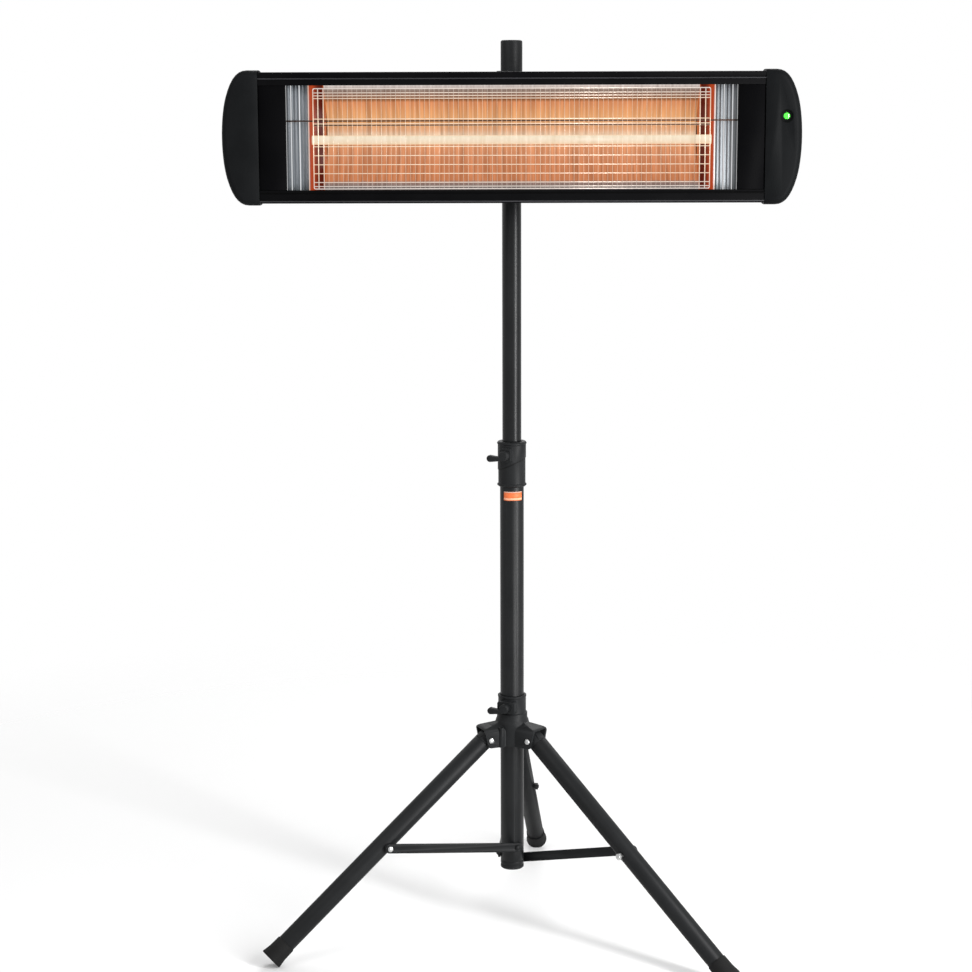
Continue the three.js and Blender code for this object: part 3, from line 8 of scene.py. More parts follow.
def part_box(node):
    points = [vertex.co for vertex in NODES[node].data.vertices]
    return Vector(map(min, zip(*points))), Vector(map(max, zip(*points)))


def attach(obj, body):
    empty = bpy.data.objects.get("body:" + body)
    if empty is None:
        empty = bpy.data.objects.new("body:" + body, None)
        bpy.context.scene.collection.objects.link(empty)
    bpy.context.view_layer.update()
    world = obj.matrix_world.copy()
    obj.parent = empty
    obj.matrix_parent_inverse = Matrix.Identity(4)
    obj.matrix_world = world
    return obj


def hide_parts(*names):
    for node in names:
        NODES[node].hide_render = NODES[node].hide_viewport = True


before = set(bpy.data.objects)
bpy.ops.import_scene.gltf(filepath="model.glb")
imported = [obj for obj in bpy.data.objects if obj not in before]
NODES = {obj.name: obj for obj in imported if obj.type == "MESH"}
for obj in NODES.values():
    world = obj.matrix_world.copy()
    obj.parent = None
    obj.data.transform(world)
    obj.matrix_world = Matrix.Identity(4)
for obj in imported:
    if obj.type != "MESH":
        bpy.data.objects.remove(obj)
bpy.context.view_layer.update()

# Lengths are in metres and colours are 8-bit screen values.

# ---------------------------------------------------------------- places

MAST_Y = -0.0692493  # mast's axis in the row frame
HEAD_Z = 1.091  # middle of the heater's window
HEAD_FRONT_Y = MAST_Y - 0.126  # head's front plane, which its ridges stand out from

# Camera, fitted to the photograph
CAMERA_PLACE = Vector((0.0, MAST_Y - 2.9422, 1.135))
CAMERA_PITCH = math.radians(9.823)
CAMERA_YAW = math.radians(-0.679)
CAMERA_ROLL = math.radians(-0.17)
FOCAL_PIXELS = 2216.9
FRAME_PIXELS = 972
SENSOR_MM = 36.0

# Wire guard: heights from the window's middle
GUARD_DEPTH = 0.0062  # its uprights behind the head's front
GUARD_HALF = 0.2494
GUARD_TOP = 0.0613
GUARD_BOTTOM = -0.0636
GUARD_FRAME_R = 0.0006
GUARD_CORNER = 0.002
GUARD_CORNER_STEPS = 6
GUARD_ROWS = (
    0.056, 0.0524, 0.049, 0.0236, 0.0176, -0.0108, -0.022, -0.0333, -0.0444, -0.0555, -0.0605,
)
GUARD_ROW_R = 0.0005
GUARD_ROW_BACK = 0.0011  # rows behind the uprights
GUARD_INNER = 0.2433  # second upright at each end
GUARD_FINE_HALF = 0.2365  # third upright at each end, with the fine ones between the two
GUARD_UPRIGHT_R = 0.00065
GUARD_FINE_R = 0.0002
GUARD_FINE_EXTRA = 1.35  # two in five of the fine uprights are thicker
GUARD_PITCH = 0.00602
GUARD_WARM_REACH = 0.062  # height over which the wires' glow turns from warm to white

# Dark rods just under two bright rows, standing in for the rows' painted shadows, the longer one
# also the dark rod across the end sheets: height from the window's middle, half length, radius
GUARD_RODS_AND_SHADOWS = ((0.0211, 0.2855, 0.0009), (0.0157, GUARD_HALF, 0.0008))

# Indicator on the right cap
LED_X = 0.3445
LED_Z = HEAD_Z + 0.026
LED_DISH_R = 0.0086
LED_DISH_DEPTH = 0.009

# Lines along the housing's front, two paler ones as painted highlights on its ridges and a
# near-black one along the window's lower edge: height from the window's middle, half width, colour
PAINTED_RIDGE_LINES = (
    (0.0734, 0.0007, (46, 46, 48)),
    (-0.0686, 0.0006, (5, 5, 5)),
    (-0.0792, 0.0007, (52, 52, 54)),
)
RIDGE_DEPTH = 0.0015
HOUSING_SHEEN = 0.018
HOUSING_LIT_BACK = 0.012  # depth behind the front where the paler, glossier paint starts; its paler tone is painted light
HOUSING_BACK_SHEEN = 0.1  # added to the sheen from there on

# Collar's slanting joint line
SEAM_DROP = 0.030
SEAM_SLOPE = 0.445
SEAM_HALF = 0.0007

# Label's pale edges: height from its top, then from its bottom, half width, colour
LABEL_TOP_EDGE = (0.0007, 0.0007, (196, 156, 140))
LABEL_LOW_EDGE = (0.0022, 0.0013, (238, 172, 138))

# End sheets, which glow with painted lamplight: distances from the head's middle, and places as
# shares of their span
# Painted red glow of reflected lamplight where the sheets meet the trough
END_SHEET_GLOW_SPAN = (0.236, 0.256)
END_SHEET_GLOW = (
    (0.0, (214, 118, 66)),
    (0.18, (190, 96, 50)),
    (0.26, (92, 24, 10)),
    (0.52, (104, 34, 16)),
    (0.68, (140, 52, 24)),
    (0.8, (180, 66, 28)),
    (0.9, (196, 76, 34)),
    (0.97, (170, 60, 28)),
    (1.0, (0, 0, 0)),
)
END_SHEET_GLOW_MOTTLE = 0.0022
SILVER_SPAN = (0.2545, 0.2562)  # the dark base turns to bare silver
# Painted highlight lines along the flutes, on a dark ground
FLUTE_SPAN = (0.236, 0.288)
FLUTE_HIGHLIGHTS = (
    (0.39, (255, 214, 190)),
    (0.60, (232, 232, 232)),
    (0.80, (236, 236, 236)),
    (0.92, (236, 236, 236)),
)
FLUTE_HALF = 0.006
FLUTE_FOOT = 0.014
FLUTE_GROUND = (12, 12, 12)

# Lamp: height of its axis, radius, and tones from its lower to its upper edge
LAMP_Z = HEAD_Z - 0.003
LAMP_R = 0.0062
LAMP_TONES = (
    (0.0, (236, 186, 140)),
    (0.12, (250, 224, 192)),
    (0.45, (250, 232, 208)),
    (0.85, (253, 240, 216)),
    (1.0, (240, 200, 158)),
)

# Painted glow on the trough, the lamp's light reflected in bands: heights from the window's middle
GLOW_LOW = -0.068
GLOW_HIGH = 0.068
GLOW_BANDS = (
    (-0.0660, (60, 50, 48)),
    (-0.0620, (128, 120, 118)),
    (-0.0560, (160, 130, 118)),
    (-0.0535, (214, 136, 92)),
    (-0.0330, (221, 142, 98)),
    (-0.0215, (228, 153, 111)),
    (-0.0130, (240, 162, 114)),
    (-0.0095, (226, 158, 116)),
    (0.0030, (250, 214, 180)),
    (0.0085, (243, 184, 142)),
    (0.0160, (238, 168, 112)),
    (0.0240, (246, 180, 124)),
    (0.0330, (241, 168, 113)),
    (0.0440, (230, 150, 102)),
    (0.0475, (150, 96, 60)),
    (0.0520, (152, 112, 90)),
    (0.0590, (154, 134, 122)),
    (0.0635, (222, 208, 202)),
    (0.0665, (238, 230, 226)),
)
GLOW_RIPPLE = 0.0030
GLOW_STREAKS = 0.8  # share of the rolled streaks in the glow
GLOW_FACING = 0.05  # faces whose normal has a lower Y than this look forwards and glow

FLOOR_RADIUS = 7.0
FLOOR_DROP = 0.0004
FLOOR_GREY = 0.8
FLOOR_LIFT = 0.05  # seen from the camera and in reflections, so the pale floor reads as white
FLOOR_FADE = (0.5, 1.7)  # distances where the floor starts to clear and where it is gone
WORLD_GREY = 0.5

# Lamps of the studio: place, aim, width and height, watts
STUDIO = {
    "strip": ((1.69, MAST_Y - 1.72, 1.0), (0, MAST_Y, 0.75), (0.42, 2.6), 116),
    "soft": ((-2.0, -2.2, 2.6), (0, 0, 0.7), (1.6, 1.8), 26),
    "back": ((0.4, 2.3, 3.0), (0, 0, 0.9), (2.2, 2.2), 64),
}


# ---------------------------------------------------------------- colours and nodes

def srgb(red, green, blue):
    """An 8-bit screen colour as linear RGBA."""
    def linear(value):
        share = value / 255
        return share / 12.92 if share <= 0.04045 else ((share + 0.055) / 1.055) ** 2.4
    return (linear(red), linear(green), linear(blue), 1.0)


class Surface:
    """A Principled material with its node tree at hand."""

    def __init__(self, name):
        self.material = bpy.data.materials.new(name)
        self.material.use_nodes = True
        self.tree = self.material.node_tree
        self.shader = self.tree.nodes["Principled BSDF"]
        self.coords = self.node("ShaderNodeTexCoord").outputs["Object"]

    def node(self, kind, **settings):
        made = self.tree.nodes.new(kind)
        for key, value in settings.items():
            setattr(made, key, value)
        return made

    def link(self, source, target):
        self.tree.links.new(source, target)

    def feed(self, name, source):
        """Links a value or colour to one of the shader's sockets."""
        self.link(source, self.shader.inputs[name])

    def fixed(self, **values):
        for key, value in values.items():
            self.shader.inputs[key.replace("_", " ")].default_value = value

    def noise(self, scale, detail, stretch=None):
        texture = self.node("ShaderNodeTexNoise")
        texture.inputs["Scale"].default_value = scale
        texture.inputs["Detail"].default_value = detail
        source = self.coords
        if stretch:
            mapping = self.node("ShaderNodeMapping")
            mapping.inputs["Scale"].default_value = stretch
            self.link(source, mapping.inputs["Vector"])
            source = mapping.outputs["Vector"]
        self.link(source, texture.inputs["Vector"])
        return texture.outputs["Fac"]

    def ramp(self, source, stops):
        """Colours at places from 0 to 1, given in rising order."""
        ramp = self.node("ShaderNodeValToRGB")
        elements = ramp.color_ramp.elements
        while len(elements) < len(stops):
            elements.new(0.5)
        for element, (place, colour) in zip(elements, stops):
            element.position = place
            element.color = srgb(*colour)
        self.link(source, ramp.inputs["Fac"])
        return ramp.outputs["Color"]

    def blend(self, kind, first, second, share=1.0):
        """Two colours added or multiplied."""
        mix = self.node("ShaderNodeMix", data_type="RGBA", blend_type=kind)
        mix.inputs["Factor"].default_value = share
        self.link(first, mix.inputs["A"])
        self.link(second, mix.inputs["B"])
        return mix.outputs["Result"]

    def overlay(self, mask, colour):
        """Lays one colour over the base colour where the mask is 1."""
        socket = self.shader.inputs["Base Color"]
        under = socket.links[0].from_socket
        mix = self.node("ShaderNodeMix", data_type="RGBA")
        self.link(mask, mix.inputs["Factor"])
        self.link(under, mix.inputs["A"])
        mix.inputs["B"].default_value = srgb(*colour)
        self.link(mix.outputs["Result"], socket)

    def span(self, source, low, high):
        """Maps low..high of a value to 0..1."""
        remap = self.node("ShaderNodeMapRange")
        remap.inputs["From Min"].default_value = low
        remap.inputs["From Max"].default_value = high
        self.link(source, remap.inputs["Value"])
        return remap.outputs["Result"]

    def math(self, operation, *values):
        made = self.node("ShaderNodeMath", operation=operation)
        for value, socket in zip(values, made.inputs):
            if isinstance(value, (int, float)):
                socket.default_value = value
            else:
                self.link(value, socket)
        return made.outputs["Value"]

    def within(self, value, place, half):
        """1 where a value is nearer to a place than half a width."""
        away = self.math("ABSOLUTE", self.math("SUBTRACT", value, place))
        return self.math("LESS_THAN", away, half)

    def axis(self, name):
        split = self.node("ShaderNodeSeparateXYZ")
        self.link(self.coords, split.inputs["Vector"])
        return split.outputs[name]

    def above(self, level):
        """Height over a level."""
        return self.math("SUBTRACT", self.axis("Z"), level)

    def vary_roughness(self, source, low, high):
        """Roughness from low to high as a value goes from 0 to 1."""
        spread = self.math("MULTIPLY", source, high - low)
        self.feed("Roughness", self.math("ADD", spread, low))

    def bump(self, source, strength, distance):
        bump = self.node("ShaderNodeBump")
        bump.inputs["Strength"].default_value = strength
        bump.inputs["Distance"].default_value = distance
        self.link(source, bump.inputs["Height"])
        self.feed("Normal", bump.outputs["Normal"])


# ---------------------------------------------------------------- paints and metals

def coated(name, dark, light, roughness, grain, depth, sheen):
    """Paint, moulded plastic or rubber: mottled colour, grained gloss and a fine bump."""
    made = Surface(name)
    made.fixed(Metallic=0.0, Specular_IOR_Level=sheen)
    made.feed("Base Color", made.ramp(made.noise(22.0, 4.0), [(0.35, dark), (0.65, light)]))
    grains = made.noise(grain, 2.0)
    made.vary_roughness(made.span(grains, 0.2, 0.8), *roughness)
    made.bump(grains, 0.35, depth)
    return made


def metal(name, dark, light, roughness, stretch):
    """Bare metal with drawn or rolled streaks along one direction."""
    made = Surface(name)
    made.fixed(Metallic=1.0)
    streaks = made.noise(90.0, 4.0, stretch)
    made.feed("Base Color", made.ramp(streaks, [(0.3, dark), (0.7, light)]))
    made.vary_roughness(streaks, *roughness)
    made.bump(streaks, 0.15, 0.0002)
    return made


def housing_surface():
    """The head's black paint: matt in front, with painted highlight lines on its ridges and a
    near-black line along the window's lower edge; behind, a paler, glossier copy whose paler tone
    is painted light.
    """
    made = coated(
        "housing_paint", (7, 7, 8), (10, 10, 11), (0.4, 0.55), 1700.0, 0.00008, HOUSING_SHEEN)
    height = made.above(HEAD_Z)
    front = made.math("LESS_THAN", made.axis("Y"), HEAD_FRONT_Y + RIDGE_DEPTH)
    # painted highlight lines on the ridges, and a near-black line under the window
    for z, half, colour in PAINTED_RIDGE_LINES:
        made.overlay(made.math("MULTIPLY", made.within(height, z, half), front), colour)
    behind = made.math("GREATER_THAN", made.axis("Y"), HEAD_FRONT_Y + HOUSING_LIT_BACK)
    # paler paint behind the front: painted light, a lit copy of the same black paint
    made.overlay(behind, (19, 19, 20))
    gloss = made.math("MULTIPLY", behind, HOUSING_BACK_SHEEN)
    made.feed("Specular IOR Level", made.math("ADD", gloss, HOUSING_SHEEN))
    return made


def indicator_cap_surface():
    """The right cap's plastic, with a darker dish round the indicator."""
    made = coated("indicator_cap", (13, 14, 15), (17, 18, 19), (0.42, 0.56), 1200.0, 0.0001, 0.028)
    side = made.math("POWER", made.math("SUBTRACT", made.axis("X"), LED_X), 2.0)
    rise = made.math("POWER", made.above(LED_Z), 2.0)
    dish = made.math("LESS_THAN", made.math("ADD", side, rise), LED_DISH_R ** 2)
    front = made.math("LESS_THAN", made.axis("Y"), HEAD_FRONT_Y + LED_DISH_DEPTH)
    made.overlay(made.math("MULTIPLY", dish, front), (9, 9, 10))
    return made


def label_surface():
    """Orange film with pale edges, left bare inside."""
    made = coated("orange_film", (198, 96, 52), (214, 112, 66), (0.35, 0.5), 700.0, 0.00005, 0.2)
    low, high = (corner[2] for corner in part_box("column_label"))
    inset, half, colour = LABEL_TOP_EDGE
    made.overlay(made.within(made.axis("Z"), high - inset, half), colour)
    inset, half, colour = LABEL_LOW_EDGE
    made.overlay(made.within(made.axis("Z"), low + inset, half), colour)
    return made


def collar_surface():
    """Moulded collar with a dark joint line where its clamp sleeve ends."""
    made = coated(
        "collar_moulding", (21, 22, 23), (27, 28, 29), (0.42, 0.56), 1100.0, 0.00012, 0.12)
    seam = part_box("upper_collar")[1][2] - SEAM_DROP
    rise = made.math("MULTIPLY", made.axis("X"), SEAM_SLOPE)
    made.overlay(made.within(made.above(seam), rise, SEAM_HALF), (5, 5, 5))
    return made


# ---------------------------------------------------------------- glowing surfaces

def glowing_reflector():
    """Rolled bright sheet with painted light: the lamp's reflected light glows on it in bands
    along its length.
    """
    made = Surface("reflector_glow")
    ripple = made.math("MULTIPLY", made.noise(30.0, 3.0, (9.0, 1.0, 0.15)), GLOW_RIPPLE)
    ripple = made.math("SUBTRACT", ripple, GLOW_RIPPLE / 2)
    height = made.math("ADD", made.above(HEAD_Z), ripple)
    reach = GLOW_HIGH - GLOW_LOW
    stops = [((z - GLOW_LOW) / reach, colour) for z, colour in GLOW_BANDS]
    bands = made.ramp(made.span(height, GLOW_LOW, GLOW_HIGH), stops)
    streaks = made.noise(260.0, 3.0, (1.0, 0.04, 0.04))
    shade = made.ramp(streaks, [(0.3, (188, 184, 182)), (0.7, (255, 255, 255))])
    made.feed("Emission Color", made.blend("MULTIPLY", bands, shade, GLOW_STREAKS))
    split = made.node("ShaderNodeSeparateXYZ")
    made.link(made.node("ShaderNodeNewGeometry").outputs["Normal"], split.inputs["Vector"])
    made.feed("Emission Strength", made.math("LESS_THAN", split.outputs["Y"], GLOW_FACING))
    made.fixed(Metallic=1.0, Roughness=0.45, Base_Color=srgb(40, 30, 24))
    made.bump(streaks, 0.2, 0.0002)
    return made


def end_reflector_surface(name, dim, pale):
    """Fluted end sheet: silver outside, with painted reflected lamplight: a deep red glow where it
    meets the trough and painted highlight lines along its flutes.
    """
    made = Surface(name)
    made.fixed(Metallic=0.5, Roughness=0.5, Emission_Strength=0.8)
    across = made.math("ABSOLUTE", made.axis("X"))
    streaks = made.noise(330.0, 2.0, (1.0, 0.05, 0.02))
    silver = made.ramp(streaks, [(0.3, dim), (0.7, pale)])
    bare = made.ramp(made.span(across, *SILVER_SPAN), [(0.0, (30, 12, 6)), (1.0, (255, 255, 255))])
    made.feed("Base Color", made.blend("MULTIPLY", silver, bare))
    # painted red glow of reflected lamplight, its inner edge mottled
    mottle = made.math("MULTIPLY", made.noise(170.0, 2.0), END_SHEET_GLOW_MOTTLE)
    mottled_across = made.math("ADD", across, made.math("SUBTRACT", mottle, END_SHEET_GLOW_MOTTLE / 2))
    red_glow = made.ramp(made.span(mottled_across, *END_SHEET_GLOW_SPAN), END_SHEET_GLOW)
    # painted highlight lines along the flutes
    highlight_stops = [(0.0, (0, 0, 0))]
    for place, tone in FLUTE_HIGHLIGHTS:
        highlight_stops += [
            (place - FLUTE_FOOT, FLUTE_GROUND), (place - FLUTE_HALF, tone),
            (place + FLUTE_HALF, tone), (place + FLUTE_FOOT, FLUTE_GROUND),
        ]
    flute_highlights = made.ramp(made.span(across, *FLUTE_SPAN), highlight_stops)
    made.feed("Emission Color", made.blend("ADD", red_glow, flute_highlights))
    made.bump(streaks, 0.3, 0.0003)
    return made


def lamp_surface():
    """The lamp's quartz, filled with light, with a paler core along the strip."""
    made = Surface("lamp_glow")
    core = made.ramp(made.span(made.above(LAMP_Z), -LAMP_R, LAMP_R), LAMP_TONES)
    flicker = made.noise(120.0, 2.0, (1.0, 0.1, 0.1))
    shade = made.ramp(flicker, [(0.3, (240, 236, 228)), (0.7, (255, 255, 255))])
    made.feed("Emission Color", made.blend("MULTIPLY", core, shade))
    made.fixed(Base_Color=srgb(40, 30, 22), Roughness=0.3, Specular_IOR_Level=0.1,
               Emission_Strength=0.97)
    return made


def element_surface():
    """The lamp's white-hot carbon weave."""
    made = Surface("carbon_glow")
    weave = made.ramp(made.noise(900.0, 2.0), [(0.3, (255, 196, 120)), (0.7, (255, 240, 210))])
    made.feed("Emission Color", weave)
    made.fixed(Base_Color=srgb(90, 50, 20), Roughness=0.7, Emission_Strength=1.2)
    return made


def guard_surface(name, strength):
    """Plated wire that glows with painted lamplight falling on it."""
    made = Surface(name)
    made.fixed(Metallic=1.0, Roughness=0.4, Emission_Strength=strength)
    height = made.math("ABSOLUTE", made.above(HEAD_Z))
    warm = [(0.0, (255, 232, 200)), (0.7, (255, 224, 194)), (1.0, (236, 226, 220))]
    made.feed("Emission Color", made.ramp(made.span(height, 0.0, GUARD_WARM_REACH), warm))
    tint = [(0.3, (120, 112, 104)), (0.7, (160, 150, 140))]
    made.feed("Base Color", made.ramp(made.noise(60.0, 3.0), tint))
    return made


def lens_surface():
    """The indicator's lit green lens."""
    made = Surface("lit_lens")
    tint = [(0.3, (40, 170, 40)), (0.7, (90, 225, 70))]
    made.feed("Base Color", made.ramp(made.noise(500.0, 2.0), tint))
    made.fixed(Roughness=0.12, Coat_Weight=0.5, Emission_Color=srgb(50, 220, 50),
               Emission_Strength=0.45)
    return made


# Name, darker and lighter colour, roughness, grain, bump, sheen
MAST_PAINT = coated(
    "mast_paint", (15, 16, 17), (20, 21, 22), (0.29, 0.34), 1500.0, 0.00004, 0.17)
TUBE_PAINT = coated(
    "tube_paint", (17, 18, 19), (22, 23, 24), (0.38, 0.44), 1500.0, 0.00004, 0.16)
LEG_PAINT = coated(
    "leg_paint", (18, 19, 20), (23, 24, 25), (0.44, 0.52), 1500.0, 0.00005, 0.13)
# darker, less glossy copy of the leg paint: painted shade on the rear leg
REAR_LEG_SHADED_PAINT = coated(
    "rear_leg_shaded_paint", (13, 14, 15), (18, 19, 20), (0.4, 0.5), 1500.0, 0.00006, 0.03)
BRACE_PAINT = coated(
    "brace_paint", (18, 19, 20), (24, 25, 26), (0.4, 0.52), 1500.0, 0.0001, 0.12)
HEAD_PAINT = coated(
    "head_paint", (5, 5, 6), (7, 7, 8), (0.45, 0.6), 1700.0, 0.00008, 0.015)
MOULDING = coated(
    "black_moulding", (21, 22, 23), (27, 28, 29), (0.42, 0.56), 1100.0, 0.00012, 0.12)
CAP_MOULDING = coated(
    "cap_moulding", (16, 17, 18), (20, 21, 22), (0.42, 0.56), 1200.0, 0.0001, 0.035)
RUBBER = coated(
    "foot_rubber", (17, 17, 17), (24, 24, 24), (0.6, 0.85), 800.0, 0.0003, 0.12)
CERAMIC = coated(
    "ceramic", (214, 204, 190), (234, 226, 214), (0.5, 0.7), 900.0, 0.0001, 0.4)
BOARD = coated(
    "circuit_board", (20, 84, 44), (34, 110, 60), (0.4, 0.6), 500.0, 0.0001, 0.4)
# dark paint for the rods that stand in for the rows' painted shadows
GUARD_ROD_AND_SHADOW_PAINT = coated(
    "guard_rod_and_shadow", (52, 34, 26), (68, 46, 36), (0.4, 0.5), 900.0, 0.00005, 0.2)
ZINC = metal("zinc_plate", (150, 152, 154), (214, 214, 212), (0.22, 0.42), (1.0, 1.0, 1.0))
SPRING_STEEL = metal(
    "spring_steel", (140, 140, 140), (190, 190, 188), (0.25, 0.4), (1.0, 1.0, 8.0))
LABEL = label_surface()
COLLAR = collar_surface()
HOUSING = housing_surface()
RIGHT_CAP = indicator_cap_surface()
REFLECTOR = glowing_reflector()
# The right sheet's silver is paler than the left's: painted light on the same metal.
END_REFLECTORS = {
    "left": end_reflector_surface("end_reflector_left", (74, 78, 82), (102, 107, 112)),
    "right": end_reflector_surface("end_reflector_right", (100, 104, 108), (132, 136, 140)),
}
LAMP = lamp_surface()
ELEMENT = element_surface()
GUARD = guard_surface("guard_wire", 0.72)
GUARD_FINE = guard_surface("guard_fine_wire", 0.55)
LENS = lens_surface()


# ---------------------------------------------------------------- CAD nodes that stay

BEVEL_ANGLE = math.radians(32)
WELD_REACH = 1e-5

# Surface, bevel, nodes
FINISHES = (
    (TUBE_PAINT, 0.0003, ("column_tube",)),
    (MAST_PAINT, 0.0003, ("upper_mast",)),
    (COLLAR, 0.0006, ("upper_collar",)),
    (MOULDING, 0.0006, ("hub_casting", "column_plug", "mast_cap", "clamp_front", "clamp_rear",
                        "upper_knob", "lower_knob", "tilt_knob", "cable_gland")),
    (CAP_MOULDING, 0.0003, ("collar_bush", "mast_shoe")),
    (CAP_MOULDING, 0.0006, ("end_cap_left",)),
    (RIGHT_CAP, 0.0006, ("end_cap_right",)),
    (HOUSING, 0.0003, ("head_housing",)),
    (HEAD_PAINT, 0.0003, ("fascia_left", "fascia_right", "tilt_bracket")),
    (ZINC, 0.0003, ("clamp_bolt_left", "clamp_bolt_right", "tilt_bolt")),
    (SPRING_STEEL, 0.0002, ("lamp_holder_left", "lamp_holder_right")),
    (CERAMIC, 0.0004, ("lamp_cap_left", "lamp_cap_right")),
    (LABEL, 0, ("column_label",)),
    (REFLECTOR, 0, ("main_reflector",)),
    (END_REFLECTORS["left"], 0.0002, ("end_reflector_left",)),
    (END_REFLECTORS["right"], 0.0002, ("end_reflector_right",)),
    (LAMP, 0, ("lamp_tube",)),
    (ELEMENT, 0, ("lamp_element",)),
    (LENS, 0.0002, ("led_lens",)),
    (BOARD, 0.0002, ("control_board",)),
)


def finish_node(name, surface, bevel):
    """Gives a CAD node its material, smooth faces and softened edges."""
    node = NODES[name]
    node.data.materials.clear()
    node.data.materials.append(surface.material)
    for polygon in node.data.polygons:
        polygon.use_smooth = True
    weld = node.modifiers.new("weld", "WELD")
    weld.merge_threshold = WELD_REACH
    if bevel:
        soften = node.modifiers.new("soften", "BEVEL")
        soften.width = bevel
        soften.segments = 2
        soften.limit_method = "ANGLE"
        soften.angle_limit = BEVEL_ANGLE
        soften.harden_normals = True
        soften.use_clamp_overlap = True


def finish_leg(side):
    """The rear leg gets a darker, less glossy copy of the leg paint, which is painted shade, and
    its brace has black screws.
    """
    rear = side == "rear"
    screws = MOULDING if rear else ZINC
    finish_node(f"leg_tube_{side}", REAR_LEG_SHADED_PAINT if rear else LEG_PAINT, 0.0003)
    finish_node(f"leg_knuckle_{side}", MOULDING, 0.0005)
    finish_node(f"foot_{side}", RUBBER, 0.0005)
    finish_node(f"brace_stud_{side}", screws, 0.0003)
    finish_node(f"brace_bar_{side}", BRACE_PAINT, 0.0002)
    finish_node(f"brace_screw_{side}", screws, 0.0002)
    finish_node(f"pivot_screw_{side}", BRACE_PAINT, 0.0002)
    finish_node(f"hinge_bolt_{side}", ZINC, 0.0002)


def finish_all():
    for side in ("rear", "left", "right"):
        finish_leg(side)
    for surface, bevel, names in FINISHES:
        for name in names:
            finish_node(name, surface, bevel)


# ---------------------------------------------------------------- the fine wire guard

def add_rod(mesh, start, end, radius, sides):
    """A round wire between two points, added to a bmesh."""
    direction = end - start
    turn = direction.to_track_quat("Z", "Y").to_matrix().to_4x4()
    place = Matrix.Translation((start + end) / 2) @ turn
    bmesh.ops.create_cone(mesh, cap_ends=True, segments=sides, radius1=radius, radius2=radius,
                          depth=direction.length, matrix=place)


def add_row(mesh, centre, half, radius, sides):
    """A lengthwise wire through a point."""
    reach = Vector((half, 0, 0))
    add_rod(mesh, centre - reach, centre + reach, radius, sides)


def add_upright(mesh, origin, x, radius, sides):
    """A wire from the guard's lower edge to its upper one."""
    foot = origin + Vector((x, 0, GUARD_BOTTOM))
    top = origin + Vector((x, 0, GUARD_TOP))
    add_rod(mesh, foot, top, radius, sides)


def guard_loop():
    """The frame wire's path, with rounded corners, anticlockwise from the front."""
    points = []
    corners = ((GUARD_HALF, GUARD_TOP, 0), (-GUARD_HALF, GUARD_TOP, 90),
               (-GUARD_HALF, GUARD_BOTTOM, 180), (GUARD_HALF, GUARD_BOTTOM, 270))
    for x, z, start in corners:
        inset_x = x - math.copysign(GUARD_CORNER, x)
        inset_z = z - math.copysign(GUARD_CORNER, z)
        centre = Vector((inset_x, 0, inset_z))
        for step in range(GUARD_CORNER_STEPS + 1):
            angle = math.radians(start + step * 90 / GUARD_CORNER_STEPS)
            points.append(centre + Vector((math.cos(angle), 0, math.sin(angle))) * GUARD_CORNER)
    return points


def build_guard():
    """The whole welded guard: frame, lengthwise wires, fine uprights and the dark rods, which are
    painted shadows under two rows, the longer one also a rod across the end sheets.
    """
    origin = Vector((0, HEAD_FRONT_Y + GUARD_DEPTH, HEAD_Z))
    behind = origin + Vector((0, GUARD_ROW_BACK, 0))
    mesh = bmesh.new()
    loop = guard_loop()
    for start, end in zip(loop, loop[1:] + loop[:1]):
        add_rod(mesh, start + origin, end + origin, GUARD_FRAME_R, sides=8)
    for z in GUARD_ROWS:
        add_row(mesh, behind + Vector((0, 0, z)), GUARD_HALF, GUARD_ROW_R, sides=6)
    for x in (-GUARD_INNER, GUARD_INNER, -GUARD_FINE_HALF, GUARD_FINE_HALF):
        add_upright(mesh, origin, x, GUARD_UPRIGHT_R, sides=6)
    first_fine = len(mesh.faces)
    count = int(GUARD_FINE_HALF * 2 / GUARD_PITCH)
    for i in range(1, count):
        extra = GUARD_FINE_EXTRA if i % 5 in (0, 2) else 1.0
        x = -GUARD_FINE_HALF + i * GUARD_FINE_HALF * 2 / count
        add_upright(mesh, origin, x, GUARD_FINE_R * extra, sides=5)
    first_rod = len(mesh.faces)
    for z, half, radius in GUARD_RODS_AND_SHADOWS:
        add_row(mesh, behind + Vector((0, 0, z)), half, radius, sides=8)
    mesh.faces.ensure_lookup_table()
    for face in mesh.faces[first_fine:first_rod]:
        face.material_index = 1
    for face in mesh.faces[first_rod:]:
        face.material_index = 2
    data = bpy.data.meshes.new("wire_guard_mesh")
    mesh.to_mesh(data)
    mesh.free()
    for polygon in data.polygons:
        polygon.use_smooth = True
    for surface in (GUARD, GUARD_FINE, GUARD_ROD_AND_SHADOW_PAINT):
        data.materials.append(surface.material)
    guard = bpy.data.objects.new("wire_guard_fine", data)
    bpy.context.scene.collection.objects.link(guard)
    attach(guard, "head")
    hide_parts("wire_guard")


# ---------------------------------------------------------------- stage, light and camera

def seen_directly(tree):
    """1 for rays from the camera, in reflections and through clear things."""
    path = tree.nodes.new("ShaderNodeLightPath").outputs
    seen = path["Is Camera Ray"]
    for kind in ("Is Glossy Ray", "Is Transmission Ray"):
        either = tree.nodes.new("ShaderNodeMath")
        either.operation = "MAXIMUM"
        tree.links.new(seen, either.inputs[0])
        tree.links.new(path[kind], either.inputs[1])
        seen = either.outputs["Value"]
    return seen


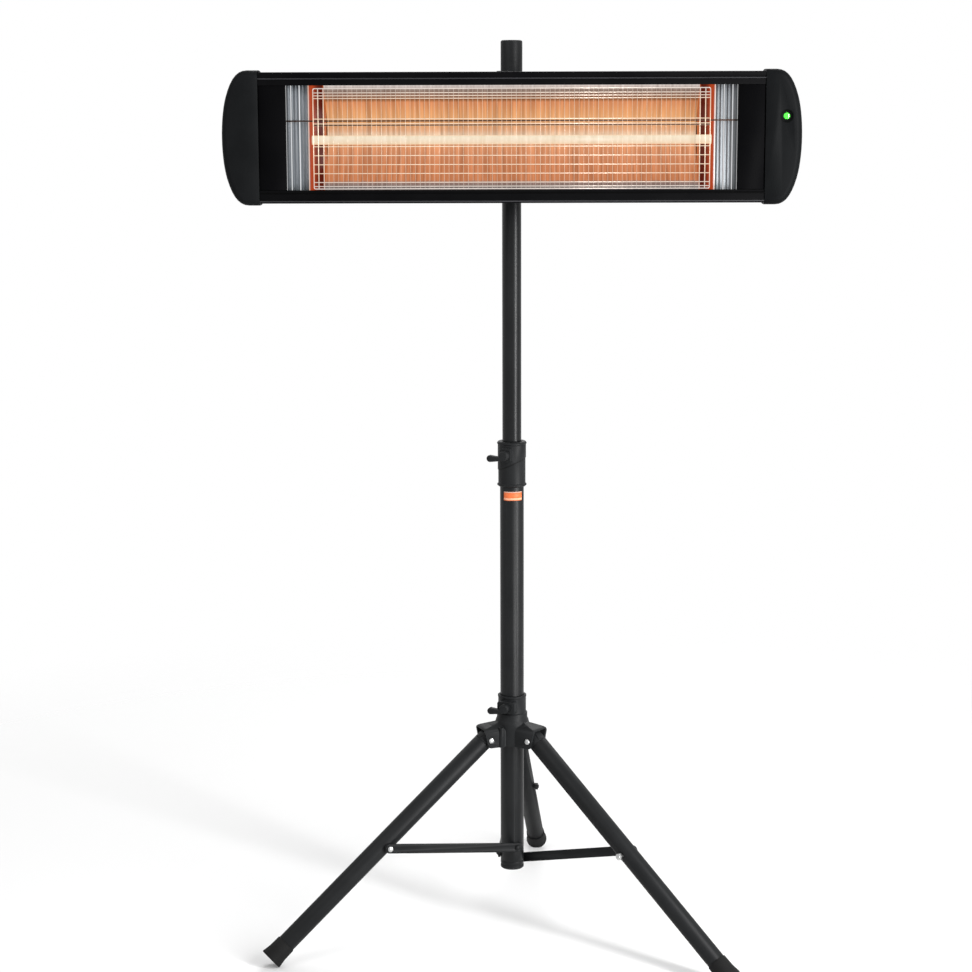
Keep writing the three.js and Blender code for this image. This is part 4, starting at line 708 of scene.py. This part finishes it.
def build_floor():
    """A pale round floor that clears towards its rim."""
    mesh = bmesh.new()
    bmesh.ops.create_circle(mesh, cap_ends=True, segments=96, radius=FLOOR_RADIUS)
    data = bpy.data.meshes.new("floor")
    mesh.to_mesh(data)
    mesh.free()
    floor = bpy.data.objects.new("floor", data)
    bpy.context.scene.collection.objects.link(floor)
    floor.location.z = -FLOOR_DROP
    made = Surface("floor")
    made.fixed(Base_Color=(FLOOR_GREY, FLOOR_GREY, FLOOR_GREY, 1.0), Roughness=0.9,
               Specular_IOR_Level=0.1, Emission_Color=(1.0, 1.0, 1.0, 1.0))
    lift = made.math("MULTIPLY", seen_directly(made.tree), FLOOR_LIFT)
    made.feed("Emission Strength", lift)
    away = made.node("ShaderNodeVectorMath", operation="LENGTH")
    made.link(made.coords, away.inputs[0])
    mix = made.node("ShaderNodeMixShader")
    made.link(made.span(away.outputs["Value"], *FLOOR_FADE), mix.inputs["Fac"])
    made.link(made.shader.outputs["BSDF"], mix.inputs[1])
    made.link(made.node("ShaderNodeBsdfTransparent").outputs["BSDF"], mix.inputs[2])
    made.link(mix.outputs["Shader"], made.tree.nodes["Material Output"].inputs["Surface"])
    data.materials.append(made.material)


def area_light(name, place, target, size, power):
    lamp = bpy.data.lights.new(name, "AREA")
    lamp.shape = "RECTANGLE"
    lamp.size, lamp.size_y = size
    lamp.energy = power
    made = bpy.data.objects.new(name, lamp)
    bpy.context.scene.collection.objects.link(made)
    made.location = place
    made.rotation_mode = "QUATERNION"
    made.rotation_quaternion = (Vector(target) - Vector(place)).to_track_quat("-Z", "Y")


def build_world():
    """A grey room that the camera and the gloss see as white."""
    world = bpy.data.worlds.new("studio")
    bpy.context.scene.world = world
    world.use_nodes = True
    tree = world.node_tree
    room = tree.nodes["Background"]
    room.inputs["Color"].default_value = (WORLD_GREY, WORLD_GREY, WORLD_GREY, 1.0)
    white = tree.nodes.new("ShaderNodeBackground")
    white.inputs["Color"].default_value = (1.0, 1.0, 1.0, 1.0)
    mix = tree.nodes.new("ShaderNodeMixShader")
    tree.links.new(seen_directly(tree), mix.inputs["Fac"])
    tree.links.new(room.outputs["Background"], mix.inputs[1])
    tree.links.new(white.outputs["Background"], mix.inputs[2])
    tree.links.new(mix.outputs["Shader"], tree.nodes["World Output"].inputs["Surface"])


def build_camera():
    """Looks down a little at the tower, from the fitted place and angles."""
    pitch_cos, pitch_sin = math.cos(CAMERA_PITCH), math.sin(CAMERA_PITCH)
    yaw_cos, yaw_sin = math.cos(CAMERA_YAW), math.sin(CAMERA_YAW)
    roll_cos, roll_sin = math.cos(CAMERA_ROLL), math.sin(CAMERA_ROLL)
    forward = Vector((pitch_cos * yaw_sin, pitch_cos * yaw_cos, -pitch_sin))
    level = Vector((yaw_cos, -yaw_sin, 0.0))
    upright = Vector((pitch_sin * yaw_sin, pitch_sin * yaw_cos, pitch_cos))
    right = roll_cos * level + roll_sin * upright
    above = roll_cos * upright - roll_sin * level
    data = bpy.data.cameras.new("camera")
    data.sensor_width = SENSOR_MM
    data.lens = FOCAL_PIXELS * SENSOR_MM / FRAME_PIXELS
    camera = bpy.data.objects.new("camera", data)
    bpy.context.scene.collection.objects.link(camera)
    turn = Matrix((right, above, -forward)).transposed().to_4x4()
    camera.matrix_world = Matrix.Translation(CAMERA_PLACE) @ turn
    bpy.context.scene.camera = camera


bpy.context.scene.view_settings.view_transform = "Standard"
build_camera()
build_world()
build_floor()
for lamp_name, settings in STUDIO.items():
    area_light(lamp_name, *settings)
finish_all()
build_guard()
